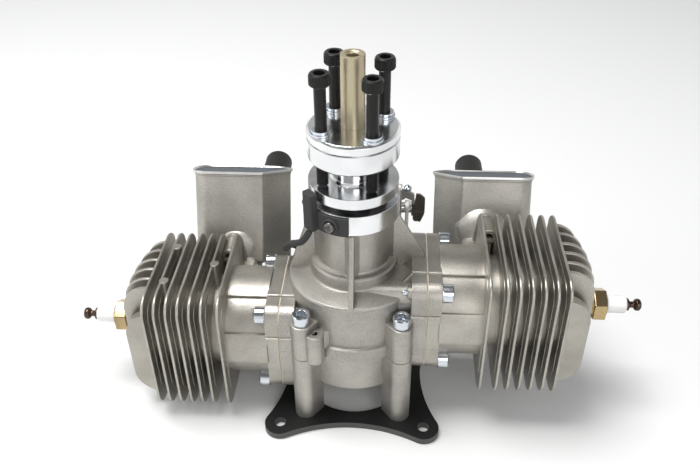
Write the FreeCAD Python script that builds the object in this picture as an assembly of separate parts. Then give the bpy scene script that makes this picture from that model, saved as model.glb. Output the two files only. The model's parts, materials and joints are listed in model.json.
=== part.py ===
import FreeCAD, Part
import math
import os

# Flat twin two-stroke aircraft engine, standing on its mount plate with the propeller shaft up.
# The crank axis is Z, the plate's underside is z = 0, the cylinders point along X,
# the silencers and the carburettor are at the back, +Y. All sizes are in millimetres.

V = FreeCAD.Vector
X = V(1, 0, 0)
Y = V(0, 1, 0)
Z = V(0, 0, 1)
LEFT = -1
RIGHT = 1
SIDES = {"left": LEFT, "right": RIGHT}

# Fits
press_gap = 0.02
running_gap = 0.05
seat_gap = 0.3
thread_gap = 0.05

# M5 cap screws, used all over the engine
screw_radius = 2.5
screw_hole_radius = 2.7
cap_head_radius = 4.25
cap_head_height = 5.0
socket_across_flats = 4.0
socket_depth = 2.6

# Mount plate
plate_thickness = 3.5
plate_hole_pitch = 69.0
plate_hole_radius = 2.75
plate_lobe_radius = 7.5
plate_waist = 33.6
plate_window_radius = 26.4
plate_screw_length = 13.0
plate_screw_head_radius = 4.8

# Crankcase
leg_x = 22.5
leg_y = 26.5
leg_radius = 5.3
foot_top_z = 17.0
leg_web_x = 15.0
leg_web_y = 23.8
leg_web_radius = 1.0
drum_floor_z = 21.0
drum_floor_radius = 28.7
split_z = 42.0
drum_split_radius = 29.1
band_radius = 30.8
band_height = 7.0
band_bevel = 1.2
drum_rim_z = 73.0
drum_rim_radius = 30.0
drum_crown_rise = 1.6
shoulder_radius = 20.0
shoulder_height = 8.3
nose_radius = 16.3
nose_height = 29.0
nose_fillet = 1.5
rear_boss_radius = 18.0
rear_boss_drop = 6.0
case_bore_radius = 25.0
leg_top_z = 61.8
case_screw_length = 36.0
rib_thickness = 2.5
rib_top_radius = 19.6
rib_top_z = 104.6
clip_boss_x = -16.4
clip_boss_y = -29.6
clip_boss_radius = 4.2
clip_boss_top_z = 58.0
clip_hole_radius = 1.3
clip_hole_depth = 12.0
pad_half = 24.6
pad_corner = 7.5
pad_band_reach = 25.6
pad_band_half_y = 12.0
pad_band_low = -9.1
pad_band_high = 10.6
pad_web_y = 10.0
pad_web_thickness = 1.6
pad_inner_x = 26.4
pad_face_x = 33.3
pad_neck_half = 21.5
spigot_hole_x = 28.2
case_port_radius = 17.0
intake_pad_half_width = 17.0
intake_pad_half_height = 14.0
intake_pad_back = 34.0
intake_port_radius = 8.5

# Crank train
bank_mid_z = 47.0
bank_stagger = 16.0
rod_slot = 10.0
web_thickness = 6.0
web_radius = 22.5
web_gap = 0.5
pin_hub_radius = 9.0
throw = 15.0
rod_length = 57.0
crankpin_radius = 5.0
rear_journal_radius = 6.0
main_journal_radius = 8.5
shaft_radius = 7.5
hub_seat_radius = 6.5
stud_radius = 4.0
stud_length = 27.0

# Ball bearings: outer radius, width
rear_bearing_outer = 14.0
rear_bearing_width = 8.0
main_bearing_outer = 17.5
main_bearing_width = 10.0
nose_bearing_outer = 14.0
nose_bearing_width = 7.0
nose_bearing_z = 97.0
seal_height = 6.0
ball_count = 7

# Timing ring and ignition sensor
timing_ring_radius = 20.2
timing_ring_bottom = 105.4
timing_ring_top = 115.0
timing_ring_lip_radius = 14.6
sensor_angle = 219.0
sensor_width = 6.4
sensor_depth = 3.8
sensor_bottom = 105.0
sensor_height = 18.0
sensor_arm_end_angle = 267.0
sensor_arm_thickness = 1.5
sensor_screw_angle = 246.0
sensor_screw_radius = 1.5
sensor_screw_head = 2.5
sensor_screw_head_height = 1.4
sensor_boss_radius = 3.8

# Propeller hub
hub_flange_radius = 19.6
hub_flange_bottom = 118.1
hub_flange_height = 4.9
hub_neck_radius = 9.0
hub_neck_height = 10.6
hub_disc_radius = 19.5
hub_disc_height = 9.3
hub_chamfer = 1.2
prop_washer_height = 4.7
prop_bolt_circle = 30.0
prop_bolt_turn = -11.7
prop_bolt_length = 45.0
prop_bolt_standout = 21.3
bolt_washer_radius = 4.6
bolt_washer_height = 1.0
split_washer_radius = 4.1
split_washer_height = 1.3
sleeve_radius = 5.0
sleeve_seat_radius = 4.6
sleeve_standout = 30.8
sleeve_thread_radius = 2.5
sleeve_thread_depth = 14.0
sleeve_mouth_chamfer = 0.9
magnet_radius = 2.0
magnet_length = 4.0
key_width = 3.0
key_height = 3.0
key_length = 9.0

# Cylinders
gasket_thickness = 0.5
flange_thickness = 6.2
flange_bolt_y = 19.6
flange_bolt_z = 20.0
flange_screw_length = 11.0
bore_radius = 18.0
spigot_radius = 19.6
barrel_radius = 25.4
transfer_radius = 27.0
transfer_spans = [(-9.0, 26.5), (64.0, 116.0), (153.5, 189.0), (244.0, 296.0)]
core_radius = 21.5
fin_count = 7
first_fin_x = 59.7
second_fin_x = 67.1
fin_pitch = 5.3
fin_thickness = 1.3
fin_half_width = 31.0
fin_half_height = 33.0
fin_corner = 9.0
head_top_x = 109.2
head_shoulder_x = 105.4
head_half_width = 22.6
head_half_height = 30.0
head_top_corner = 12.5
head_bottom_corner = 15.0
head_fin_thickness = 1.9
head_fin_pitch = 7.2
front_head_fin_drop = 10.0
front_head_fin_thickness = 4.6
head_core_x = 98.5
chamber_depth = 6.4
plug_boss_radius = 9.5
plug_thread_radius = 5.0
port_half_width = 11.0
port_half_height = 12.0
port_face_y = 31.6
port_hole_half_width = 8.0
port_hole_half_height = 6.5
muffler_boss_radius = 4.3
muffler_boss_length = 12.0
muffler_screw_z = 22.5
muffler_screw_radius = 2.0
muffler_screw_head = 2.7
muffler_screw_head_height = 2.4
muffler_boss_open = 4.0
post_radius = 2.2
post_foot_radius = 2.6
post_length = 15.0
post_top = 33.2
post_places = [(87.0, 13.5), (87.0, -12.5), (66.2, 1.0)]

# Pistons
piston_radius = 17.9
ring_radius = 17.96
piston_crown = 17.0
piston_skirt = 11.0
piston_wall = 2.2
ring_groove_depth = 1.4
ring_height = 1.2
ring_land = 3.0
wrist_pin_radius = 4.5
wrist_pin_bore = 2.6
wrist_pin_length = 30.0
pin_boss_radius = 7.2
big_end_radius = 9.4
cage_thickness = 2.2
small_end_radius = 7.0
rod_gap = 0.3
rod_beam_width = 8.0

# Spark plugs
plug_seat_x = 109.2
plug_gasket_height = 1.4
plug_hex_across_flats = 14.0
plug_collar_height = 1.6
plug_hex_height = 5.7
plug_reach = 12.0
insulator_radius = 4.2
insulator_stem_radius = 3.2
insulator_length = 10.2
terminal_radius = 3.0
terminal_length = 6.8

# Silencers
can_lean = 22.0
can_top_y = 51.0
can_top_z = 90.7
can_center_x = {"left": 61.0, "right": 63.5}
can_length = 47.0
can_depth = 18.5
can_flat_inner = 11.5
can_flat_outer = 16.5
can_inner_reach = 24.6
can_outer_reach = 24.6
can_wall = 1.2
lid_rim = 1.2
lid_height = 1.6
lid_dish = 0.8
lid_rim_width = 1.0
ear_thickness = 2.5
ear_link_half_width = 3.5
neck_rise = 22.0
outlet_tube_outer = 7.4
outlet_tube_inner = 6.0
outlet_pipe_inner = 4.9
outlet_pipe_y = 80.0
outlet_tube_start_y = 68.0
outlet_tube_end_y = 95.0
outlet_z = 72.3
outlet_x = {"left": 47.5, "right": 59.3}

# Carburettor
reed_block_depth = 10.0
insulator_depth = 4.0
carb_half_width = 16.0
carb_half_height = 15.0
carb_depth = 26.0
carb_bore_radius = 6.5
carb_z = 60.0
throttle_y = 55.2
choke_y = 68.4
butterfly_radius = 6.2
butterfly_thickness = 0.9
spindle_radius = 2.0
throttle_spindle_reach = 22.0
needle_first = 4.5
needle_pitch = 7.0
carb_screw_bite = 6.0
choke_spindle_reach = 29.2
lever_thickness = 1.5
lever_hub_radius = 3.6
lever_length = 21.0
lever_stud_height = 11.6
lever_ball_radius = 2.1
lever_ball_offset = 2.8
link_offset = 3.0
lever_face_reach = 6.6
link_rod_radius = 1.0
link_eye_radius = 2.5
link_eye_half_width = 1.1
link_neck_radius = 1.4
link_neck_length = 0.8
link_stud_radius = 1.3
link_stud_head_radius = 2.0
link_stud_head_height = 0.8
link_rod_length = 26.0
choke_tab_reach = 34.8
choke_tab_top = 68.0
choke_tab_bottom = 52.0
nipple_radius = 1.8
nipple_length = 9.0
nipple_seat_depth = 4.0

# Route of the sensor lead, from the sensor block to its plug on the table
lead_radius = 1.5
lead_route = [
    (-18.2, -17.4, 105.0),
    (-20.8, -16.6, 99.4),
    (-24.7, -12.4, 95.3),
    (-27.8, -5.7, 90.3),
    (-32.0, 1.5, 81.7),
    (-33.2, 10.5, 74.8),
    (-32.5, 21.0, 69.5),
    (-31.0, 31.5, 61.0),
    (-29.0, 38.5, 50.0),
    (-28.0, 43.5, 36.0),
    (-26.5, 50.0, 21.5),
    (-23.5, 61.0, 9.0),
    (-18.5, 75.0, 3.0),
    (-11.0, 89.5, 1.8),
    (1.5, 100.0, 1.8),
    (16.5, 102.5, 1.8),
    (30.0, 96.0, 1.8),
]
plug_body_length = 14.0
plug_body_width = 7.6
plug_body_height = 2.8

# Values that follow from the ones above
bank_z = {"left": bank_mid_z - bank_stagger / 2, "right": bank_mid_z + bank_stagger / 2}
middle_web_thickness = bank_stagger - rod_slot
lower_web_z = bank_z["left"] - rod_slot / 2 - web_thickness
upper_web_z = bank_z["right"] + rod_slot / 2
upper_web_top = upper_web_z + web_thickness
chamber_floor = lower_web_z - web_gap
chamber_roof = upper_web_top + web_gap
shoulder_top = drum_rim_z + shoulder_height
nose_top = shoulder_top + nose_height
seal_z = nose_bearing_z + nose_bearing_width
neck_z = hub_flange_bottom + hub_flange_height
disc_z = neck_z + hub_neck_height
disc_top = disc_z + hub_disc_height
prop_face = disc_top + prop_washer_height
prop_bolt_head_z = prop_face + prop_bolt_standout
sleeve_top = prop_face + sleeve_standout
flange_x = pad_face_x + gasket_thickness
barrel_x = flange_x + flange_thickness
fin_places = [first_fin_x] + [second_fin_x + fin_pitch * i for i in range(fin_count - 1)]
fin_one_x = fin_places[-1]
wrist_x = throw + rod_length
crown_x = wrist_x + piston_crown
lean = math.radians(can_lean)
carb_front_y = intake_pad_back + reed_block_depth + insulator_depth
carb_back_y = carb_front_y + carb_depth


# Building blocks

def disc(radius, z0, z1, x=0.0, y=0.0):
    return Part.makeCylinder(radius, z1 - z0, V(x, y, z0), Z)


def rod(radius, start, end):
    start, end = V(*start), V(*end)
    return Part.makeCylinder(radius, (end - start).Length, start, end - start)


def block(x0, x1, y0, y1, z0, z1):
    return Part.makeBox(x1 - x0, y1 - y0, z1 - z0, V(x0, y0, z0))


def lathe(profile, axis=Z):
    """Turn a closed outline of (radius, height) points about an axis through the origin."""
    if axis == Z:
        points = [V(r, 0, h) for r, h in profile]
    elif axis == X:
        points = [V(h, r, 0) for r, h in profile]
    else:
        points = [V(r, h, 0) for r, h in profile]
    face = Part.Face(Part.makePolygon(points + points[:1]))
    return face.revolve(V(0, 0, 0), axis, 360)


def rounded_outline(half_u, half_v, corner, place):
    """Rounded rectangle as a wire; place turns (u, v) into a point."""
    edges = []
    inner_u, inner_v = half_u - corner, half_v - corner
    bulge = corner * math.sqrt(0.5)
    for su, sv, turn in ((1, 1, 0), (-1, 1, 1), (-1, -1, 0), (1, -1, 1)):
        first = (su * half_u, sv * inner_v)
        last = (su * inner_u, sv * half_v)
        middle = (su * (inner_u + bulge), sv * (inner_v + bulge))
        if turn:
            first, last = last, first
        edges.append((first, middle, last))
    shapes = []
    for index, (first, middle, last) in enumerate(edges):
        shapes.append(Part.Arc(place(*first), place(*middle), place(*last)).toShape())
        following = edges[(index + 1) % 4][0]
        shapes.append(Part.LineSegment(place(*last), place(*following)).toShape())
    return Part.Wire(shapes)


def rounded_slab_x(half_y, half_z, corner, x0, x1, y=0.0, z=0.0):
    wire = rounded_outline(half_y, half_z, corner, lambda u, v: V(x0, y + u, z + v))
    return Part.Face(wire).extrude(V(x1 - x0, 0, 0))


def rounded_slab_y(half_x, half_z, corner, y0, y1, x=0.0, z=0.0):
    wire = rounded_outline(half_x, half_z, corner, lambda u, v: V(x + u, y0, z + v))
    return Part.Face(wire).extrude(V(0, y1 - y0, 0))


def polygon_prism(points, direction):
    """Extrude a closed outline of 3-D points."""
    vectors = [V(*p) for p in points]
    return Part.Face(Part.makePolygon(vectors + vectors[:1])).extrude(V(*direction))


def hexagon(across_flats, z0, z1):
    corner = across_flats / math.sqrt(3)
    points = [(corner * math.cos(math.radians(60 * i)), corner * math.sin(math.radians(60 * i)), z0)
              for i in range(6)]
    return polygon_prism(points, (0, 0, z1 - z0))


def fuse(shapes):
    shapes = list(shapes)
    return shapes[0].multiFuse(shapes[1:]).removeSplitter() if len(shapes) > 1 else shapes[0]


def cut(shape, tools):
    return shape.cut(list(tools))


def group(shapes):
    return Part.makeCompound(list(shapes))


def turned(shape, degrees, axis=Z, centre=V(0, 0, 0)):
    copy = shape.copy()
    copy.rotate(centre, axis, degrees)
    return copy


def moved(shape, x=0.0, y=0.0, z=0.0):
    copy = shape.copy()
    copy.translate(V(x, y, z))
    return copy


def aimed(shape, point, direction):
    """Carry a shape built up the Z axis to a point, with Z turned to a direction."""
    copy = shape.copy()
    copy.Placement = FreeCAD.Placement(V(*point), FreeCAD.Rotation(Z, V(*direction)))
    return copy


def on_side(shape, side):
    """Carry a right-hand cylinder part, built about z = 0, to its bank."""
    if SIDES[side] == LEFT:
        shape = shape.mirror(V(0, 0, 0), X)
    return moved(shape, z=bank_z[side])


def cap_screw(length, radius=screw_radius):
    """Cap screw with its head's seat at z = 0, the head above and the shank below."""
    head = disc(cap_head_radius, 0, cap_head_height)
    head = head.makeChamfer(0.4, [max(head.Edges, key=lambda e: e.CenterOfMass.z)])
    body = fuse([head, disc(radius, -length, 0)])
    return cut(body, [hexagon(socket_across_flats, cap_head_height - socket_depth, cap_head_height + 1)])


def corners(x, y):
    return [(sx * x, sy * y) for sx in (-1, 1) for sy in (-1, 1)]


# Mount plate and its screws

def plate_outline(z):
    """Four lobes round the bolt holes, joined by hollow sides tangent to them."""
    hole = plate_hole_pitch / 2
    lobe = plate_lobe_radius
    reach = hole - plate_waist
    hollow = (hole ** 2 + reach ** 2 - lobe ** 2) / (2 * (lobe + reach))
    lean_in = math.atan2(hole, hollow - reach)
    touch = (hollow * math.sin(lean_in), plate_waist + hollow - hollow * math.cos(lean_in))
    tip = hole + lobe * math.sqrt(0.5)
    quarter = [((-touch[0], touch[1]), (0.0, plate_waist), touch), (touch, (tip, tip), (touch[1], touch[0]))]
    edges = []
    for step in range(4):
        angle = -math.pi / 2 * step
        for arc in quarter:
            points = []
            for x, y in arc:
                points.append(V(x * math.cos(angle) - y * math.sin(angle),
                                x * math.sin(angle) + y * math.cos(angle), z))
            edges.append(Part.Arc(*points).toShape())
    return Part.Wire(Part.__sortEdges__(edges))


def mount_plate():
    plate = Part.Face(plate_outline(0)).extrude(V(0, 0, plate_thickness))
    half = plate_hole_pitch / 2
    tools = [disc(plate_window_radius, -1, plate_thickness + 1)]
    tools += [disc(plate_hole_radius, -1, plate_thickness + 1, x, y) for x, y in corners(half, half)]
    for x, y in corners(leg_x, leg_y):
        tools.append(moved(countersunk_screw(thread_gap), x, y))
    return cut(plate, tools)


def countersunk_screw(extra=0.0):
    """Countersunk screw pointing up from the plate's underside, or its hole."""
    cone = plate_screw_head_radius - screw_radius
    return lathe([(0, 0), (plate_screw_head_radius + extra, 0), (screw_radius + extra, cone),
                  (screw_radius + extra, plate_screw_length + extra), (0, plate_screw_length + extra)])


def plate_screws():
    return group(moved(countersunk_screw(), x, y) for x, y in corners(leg_x, leg_y))


# Crankcase halves

def leg_section(z0, z1):
    """One corner column: a round post drawn out into a web towards the drum."""
    reach = math.hypot(leg_x - leg_web_x, leg_y - leg_web_y)
    angle = math.atan2(leg_web_y - leg_y, leg_web_x - leg_x)
    spread = math.acos((leg_radius - leg_web_radius) / reach)
    points = []
    for turn in (spread, -spread):
        for centre, radius in (((leg_x, leg_y), leg_radius), ((leg_web_x, leg_web_y), leg_web_radius)):
            points.append((centre[0] + radius * math.cos(angle + turn),
                           centre[1] + radius * math.sin(angle + turn), z0))
    points = [points[0], points[1], points[3], points[2]]
    web = polygon_prism(points, (0, 0, z1 - z0))
    return fuse([disc(leg_radius, z0, z1, leg_x, leg_y), web,
                 disc(leg_web_radius, z0, z1, leg_web_x, leg_web_y)])


def four_ways(shape):
    across = shape.mirror(V(0, 0, 0), X)
    return [shape, across, shape.mirror(V(0, 0, 0), Y), across.mirror(V(0, 0, 0), Y)]


def seat_slab(x0, x1, grow=0.0):
    """Seat outline of a cylinder: a rounded square with raised bands at its top, front and back."""
    half, reach = pad_half + grow, pad_band_reach + grow
    square = rounded_slab_x(half, half, pad_corner + grow, x0, x1)
    upright = block(x0, x1, -pad_band_half_y - grow, pad_band_half_y + grow, 0, reach)
    level = block(x0, x1, -reach, reach, pad_band_low - grow, pad_band_high + grow)
    return fuse([square, upright, level])


def cylinder_pads(z0, z1):
    """The two cylinder seats, one each side, cut to one half of the case."""
    pads = []
    for side in SIDES:
        pad = on_side(seat_slab(pad_inner_x, pad_face_x), side)
        inner = on_side(rounded_slab_x(pad_neck_half, pad_neck_half, pad_corner - 1.5, 0, pad_face_x - 1), side)
        pads += [pad, inner]
    return [p.common(block(-60, 60, -60, 60, z0, z1)) for p in pads]


def case_hollows():
    """Everything that is bored out of the two case halves."""
    tools = [disc(case_bore_radius, chamber_floor, chamber_roof)]
    for side in SIDES:
        port = rod(case_port_radius, (0, 0, 0), (spigot_hole_x + 1, 0, 0))
        counterbore = rod(spigot_radius + running_gap, (spigot_hole_x, 0, 0), (pad_face_x + 1, 0, 0))
        holes = [rod(screw_radius + thread_gap, (barrel_x - flange_screw_length - 0.5, y, z),
                     (pad_face_x + 1, y, z)) for y, z in corners(flange_bolt_y, flange_bolt_z)]
        tools += [on_side(tool, side) for tool in [port, counterbore] + holes]
    for x, y in corners(leg_x, leg_y):
        tools.append(disc(screw_radius + thread_gap, leg_top_z - case_screw_length - 0.5, leg_top_z + 1, x, y))
        tools.append(moved(countersunk_screw(thread_gap), x, y))
    return tools


def crankcase_rear():
    drum = Part.makeCone(drum_floor_radius, drum_split_radius, split_z - drum_floor_z, V(0, 0, drum_floor_z), Z)
    boss_z = drum_floor_z - rear_boss_drop
    boss = disc(rear_boss_radius, boss_z, drum_floor_z + 1)
    legs = four_ways(leg_section(foot_top_z, split_z))
    body = fuse([drum, boss] + legs + cylinder_pads(0, split_z))
    tools = case_hollows()
    tools.append(disc(rear_bearing_outer + press_gap, chamber_floor - rear_bearing_width, chamber_floor + 1))
    tools.append(disc(rear_journal_radius + 1, boss_z + 2.0, chamber_floor))
    return cut(body, tools)


def leg_feet():
    """The legs' lowest lengths, from the mount plate up to below the drum."""
    holes = []
    for x, y in corners(leg_x, leg_y):
        holes.append(moved(countersunk_screw(thread_gap), x, y))
    return group(foot.cut(holes) for foot in four_ways(leg_section(plate_thickness, foot_top_z)))


def pad_webs():
    """Small triangular webs between the drum's crown and the higher seat."""
    top = bank_mid_z + bank_stagger / 2 + pad_half - 1.0
    inner, outer = pad_inner_x - 6.0, pad_inner_x + 0.5
    webs = []
    for y in (-pad_web_y, pad_web_y):
        outline = [(inner, drum_rim_z - 0.5), (inner + 0.5, drum_rim_z + 0.6), (outer, top), (outer, drum_rim_z - 0.5)]
        webs.append(polygon_prism([(x, y - pad_web_thickness / 2, z) for x, z in outline], (0, pad_web_thickness, 0)))
    return webs


def ribs():
    """Four webs that brace the nose, from the timing ring to the drum's rim."""
    outline = [(nose_radius - 3, rib_top_z), (rib_top_radius, rib_top_z), (drum_rim_radius, drum_rim_z + 0.2),
               (drum_rim_radius - 2, drum_rim_z - 3), (nose_radius - 3, drum_rim_z - 3)]
    web = polygon_prism([(r, -rib_thickness / 2, z) for r, z in outline], (0, rib_thickness, 0))
    return [turned(web, 90 * i) for i in range(4)]


def front_case_outline():
    """Half section of the drum, its flange band, the shoulder and the nose."""
    band_top = split_z + band_height
    return [(0, split_z), (band_radius, split_z), (band_radius, band_top - band_bevel),
            (drum_split_radius + 0.2, band_top), (drum_rim_radius, drum_rim_z - 1.0),
            (drum_rim_radius - 1.0, drum_rim_z), (shoulder_radius + 0.8, drum_rim_z + drum_crown_rise),
            (shoulder_radius, drum_rim_z + drum_crown_rise + 0.8), (shoulder_radius, shoulder_top - 0.8),
            (shoulder_radius - 0.8, shoulder_top), (nose_radius + nose_fillet, shoulder_top),
            (nose_radius + nose_fillet / 3, shoulder_top + nose_fillet / 3),
            (nose_radius, shoulder_top + nose_fillet), (nose_radius, nose_top), (0, nose_top)]


def crankcase_front():
    legs = four_ways(leg_section(split_z, leg_top_z))
    boss = disc(clip_boss_radius, split_z, clip_boss_top_z, clip_boss_x, clip_boss_y)
    intake = rounded_slab_y(intake_pad_half_width, intake_pad_half_height, 5.0, 20.0, intake_pad_back,
                            0, carb_z)
    body = fuse([lathe(front_case_outline()), boss, intake] + legs + ribs() + pad_webs() + cylinder_pads(split_z, 90))
    tools = case_hollows()
    tools.append(disc(main_bearing_outer + press_gap, chamber_roof - 1, chamber_roof + main_bearing_width))
    tools.append(disc(main_bearing_outer - 4, chamber_roof, nose_bearing_z))
    tools.append(disc(nose_bearing_outer + press_gap, nose_bearing_z, nose_top + 1))
    tools += [disc(cap_head_radius + seat_gap, leg_top_z, drum_rim_z + 10, x, y) for x, y in corners(leg_x, leg_y)]
    tools.append(disc(clip_hole_radius, clip_boss_top_z - clip_hole_depth, clip_boss_top_z + 1, clip_boss_x,
                      clip_boss_y))
    tools.append(rod(intake_port_radius, (0, 15, carb_z), (0, intake_pad_back + 1, carb_z)))
    tools += [rod(1.55, (x, intake_pad_back - 8, carb_z + z), (x, intake_pad_back + 1, carb_z + z))
              for x, z in corners(12.5, 10.0)]
    return cut(body, tools)


def case_screws():
    return group(moved(cap_screw(case_screw_length), x, y, leg_top_z) for x, y in corners(leg_x, leg_y))


# Bearings, seal, timing ring and sensor

def bearing_seats():
    """Bore radius, outer radius, width and lower face of the three ball bearings."""
    return [(rear_journal_radius, rear_bearing_outer, rear_bearing_width, chamber_floor - rear_bearing_width),
            (main_journal_radius, main_bearing_outer, main_bearing_width, chamber_roof),
            (shaft_radius, nose_bearing_outer, nose_bearing_width, nose_bearing_z)]


def race_radii(bore, outer):
    wall = (outer - bore) * 0.27
    return bore + wall, outer - wall


def bearing_outers():
    rings = []
    for bore, outer, width, z in bearing_seats():
        raceway = race_radii(bore, outer)[1]
        rings.append(disc(outer, z, z + width).cut(disc(raceway, z - 1, z + width + 1)))
    return group(rings)


def bearing_inners():
    pieces = []
    for bore, outer, width, z in bearing_seats():
        inner, raceway = race_radii(bore, outer)
        pieces.append(disc(inner, z, z + width).cut(disc(bore + press_gap, z - 1, z + width + 1)))
        ball = (raceway - inner) / 2 - running_gap
        pitch = (raceway + inner) / 2
        for i in range(ball_count):
            angle = 2 * math.pi * i / ball_count
            pieces.append(Part.makeSphere(ball, V(pitch * math.cos(angle), pitch * math.sin(angle), z + width / 2)))
    return group(pieces)


def shaft_seal():
    lip = shaft_radius + seat_gap
    return lathe([(nose_bearing_outer, seal_z), (nose_bearing_outer, seal_z + seal_height),
                  (lip + 1.5, seal_z + seal_height), (lip, seal_z + seal_height - 1.5), (lip + 2.5, seal_z + 2),
                  (lip + 2.5, seal_z)])


def timing_ring():
    bore = nose_radius + press_gap
    ring = lathe([(bore, timing_ring_bottom), (timing_ring_radius, timing_ring_bottom),
                  (timing_ring_radius, timing_ring_top - 0.4), (timing_ring_radius - 0.4, timing_ring_top),
                  (timing_ring_lip_radius, timing_ring_top), (timing_ring_lip_radius, nose_top + 0.02),
                  (bore, nose_top + 0.02)])
    centre = ring_point(0, sensor_screw_angle, sensor_screw_z())
    hole = aimed(disc(sensor_screw_radius + thread_gap, timing_ring_radius - 3, timing_ring_radius + 2),
                 centre, ring_direction(sensor_screw_angle))
    return cut(ring, [hole])


def ring_point(radius, degrees, z):
    angle = math.radians(degrees)
    return (radius * math.cos(angle), radius * math.sin(angle), z)


def ring_direction(degrees):
    return ring_point(1, degrees, 0)


def sensor_screw_z():
    return (timing_ring_bottom + timing_ring_top) / 2


def ring_sector(inner, outer, z0, z1, start, end):
    """Part of a tube between two angles."""
    face = Part.Face(Part.makePolygon([V(r, 0, z) for r, z in
                                       ((inner, z0), (outer, z0), (outer, z1), (inner, z1), (inner, z0))]))
    return turned(face.revolve(V(0, 0, 0), Z, end - start), start)


def sensor_block():
    inner = timing_ring_radius + press_gap
    body_inner = timing_ring_radius + 0.6
    case = block(body_inner, body_inner + sensor_depth, -sensor_width / 2, sensor_width / 2,
                 sensor_bottom, sensor_bottom + sensor_height)
    edges = [e for e in case.Edges if abs(e.Vertexes[0].Z - e.Vertexes[1].Z) > 1 and e.CenterOfMass.x > body_inner + 1]
    case = turned(case.makeFillet(0.8, edges), sensor_angle)
    arm = ring_sector(inner, inner + sensor_arm_thickness, timing_ring_bottom + 0.3, timing_ring_top - 0.3,
                      sensor_angle - 8, sensor_arm_end_angle)
    boss = disc(sensor_boss_radius, 0, sensor_arm_thickness + 0.5)
    boss = aimed(boss, ring_point(inner + 0.5, sensor_screw_angle, sensor_screw_z()), ring_direction(sensor_screw_angle))
    body = fuse([case, arm, boss])
    hole = aimed(disc(sensor_screw_radius + 0.1, -3, 9),
                 ring_point(inner, sensor_screw_angle, sensor_screw_z()), ring_direction(sensor_screw_angle))
    bore = disc(timing_ring_radius + press_gap, sensor_bottom - 1, timing_ring_top + 0.1)
    return cut(body, [hole, bore, side_screw_tool()])


def side_screw_axis():
    """Start and direction of the small screw in the sensor's outer side."""
    angle = math.radians(sensor_angle)
    along = V(math.sin(angle), -math.cos(angle), 0)
    middle = V(*ring_point(timing_ring_radius + 0.6 + sensor_depth / 2, sensor_angle, sensor_bottom + 12.0))
    start = middle + along * (sensor_width / 2)
    return tuple(start), tuple(along)


def side_screw_tool():
    start, along = side_screw_axis()
    return aimed(disc(sensor_screw_radius * 0.7 + thread_gap, -4.1, 1), start, along)


def sensor_screws():
    """Pan-head screw on the bracket arm and the small one in the sensor's side."""
    head = lathe([(0, 0), (sensor_screw_head, 0), (sensor_screw_head, 0.5),
                  (sensor_screw_head - 0.7, sensor_screw_head_height), (0, sensor_screw_head_height)])
    arm_screw = fuse([head, disc(sensor_screw_radius, -4.0, 0)])
    seat = timing_ring_radius + press_gap + 0.5 + sensor_arm_thickness + 0.5
    side_head = lathe([(0, 0), (1.7, 0), (1.5, 0.7), (0, 0.9)])
    side_screw = fuse([side_head, disc(sensor_screw_radius * 0.7, -4.0, 0)])
    start, along = side_screw_axis()
    return group([aimed(arm_screw, ring_point(seat, sensor_screw_angle, sensor_screw_z()),
                        ring_direction(sensor_screw_angle)), aimed(side_screw, start, along)])


# Propeller hub and what is bolted to it

def bolt_places():
    radius = prop_bolt_circle / 2
    return [ring_point(radius, prop_bolt_turn + 45 + 90 * i, 0)[:2] for i in range(4)]


def prop_hub():
    outline = [(0, hub_flange_bottom), (hub_flange_radius - 0.5, hub_flange_bottom),
               (hub_flange_radius, hub_flange_bottom + 0.5), (hub_flange_radius, neck_z - 0.5),
               (hub_flange_radius - 0.5, neck_z), (hub_neck_radius, neck_z), (hub_neck_radius, disc_z),
               (hub_disc_radius - hub_chamfer, disc_z), (hub_disc_radius, disc_z + hub_chamfer),
               (hub_disc_radius, disc_top - 0.3), (hub_disc_radius - 0.3, disc_top), (0, disc_top)]
    tools = [disc(hub_seat_radius + press_gap, hub_flange_bottom - 1, disc_z),
             disc(sleeve_seat_radius + press_gap, disc_z - 1, disc_top + 1), key_way(0.05), magnet_shape(0.05)]
    tools += [disc(screw_radius + thread_gap, disc_z - 1, disc_top + 1, x, y) for x, y in bolt_places()]
    return cut(lathe(outline), tools)


def key_way(extra=0.0):
    half = key_width / 2 + extra
    radius = hub_seat_radius
    return block(radius - key_height / 2 - extra, radius + key_height / 2 + extra, -half, half,
                 neck_z - extra, neck_z + key_length + extra)


def magnet_shape(extra=0.0):
    z = (hub_flange_bottom + neck_z) / 2
    start = hub_flange_radius - 0.2 - magnet_length - extra
    return rod(magnet_radius + extra, (0, start, z), (0, start + magnet_length + extra * 25, z))


def prop_washer():
    bevel = 0.9
    outline = [(0, disc_top), (hub_disc_radius - bevel, disc_top), (hub_disc_radius, disc_top + bevel),
               (hub_disc_radius, prop_face - bevel), (hub_disc_radius - bevel, prop_face), (0, prop_face)]
    tools = [disc(sleeve_radius + running_gap, disc_top - 1, prop_face + 1)]
    tools += [disc(screw_hole_radius, disc_top - 1, prop_face + 1, x, y) for x, y in bolt_places()]
    return cut(lathe(outline), tools)


def prop_bolts():
    return group(moved(cap_screw(prop_bolt_length), x, y, prop_bolt_head_z) for x, y in bolt_places())


def bolt_washers():
    pieces = []
    for x, y in bolt_places():
        flat = disc(bolt_washer_radius, prop_face, prop_face + bolt_washer_height, x, y)
        low = prop_face + bolt_washer_height
        split = disc(split_washer_radius, low, low + split_washer_height, x, y)
        hole = disc(screw_radius + 0.1, prop_face - 1, low + split_washer_height + 1, x, y)
        slit = moved(block(screw_radius - 1, split_washer_radius + 1, -0.25, 0.25, low - 0.5, low + 3), x, y)
        pieces += [flat.cut(hole), split.cut(hole).cut(slit)]
    return group(pieces)


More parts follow.
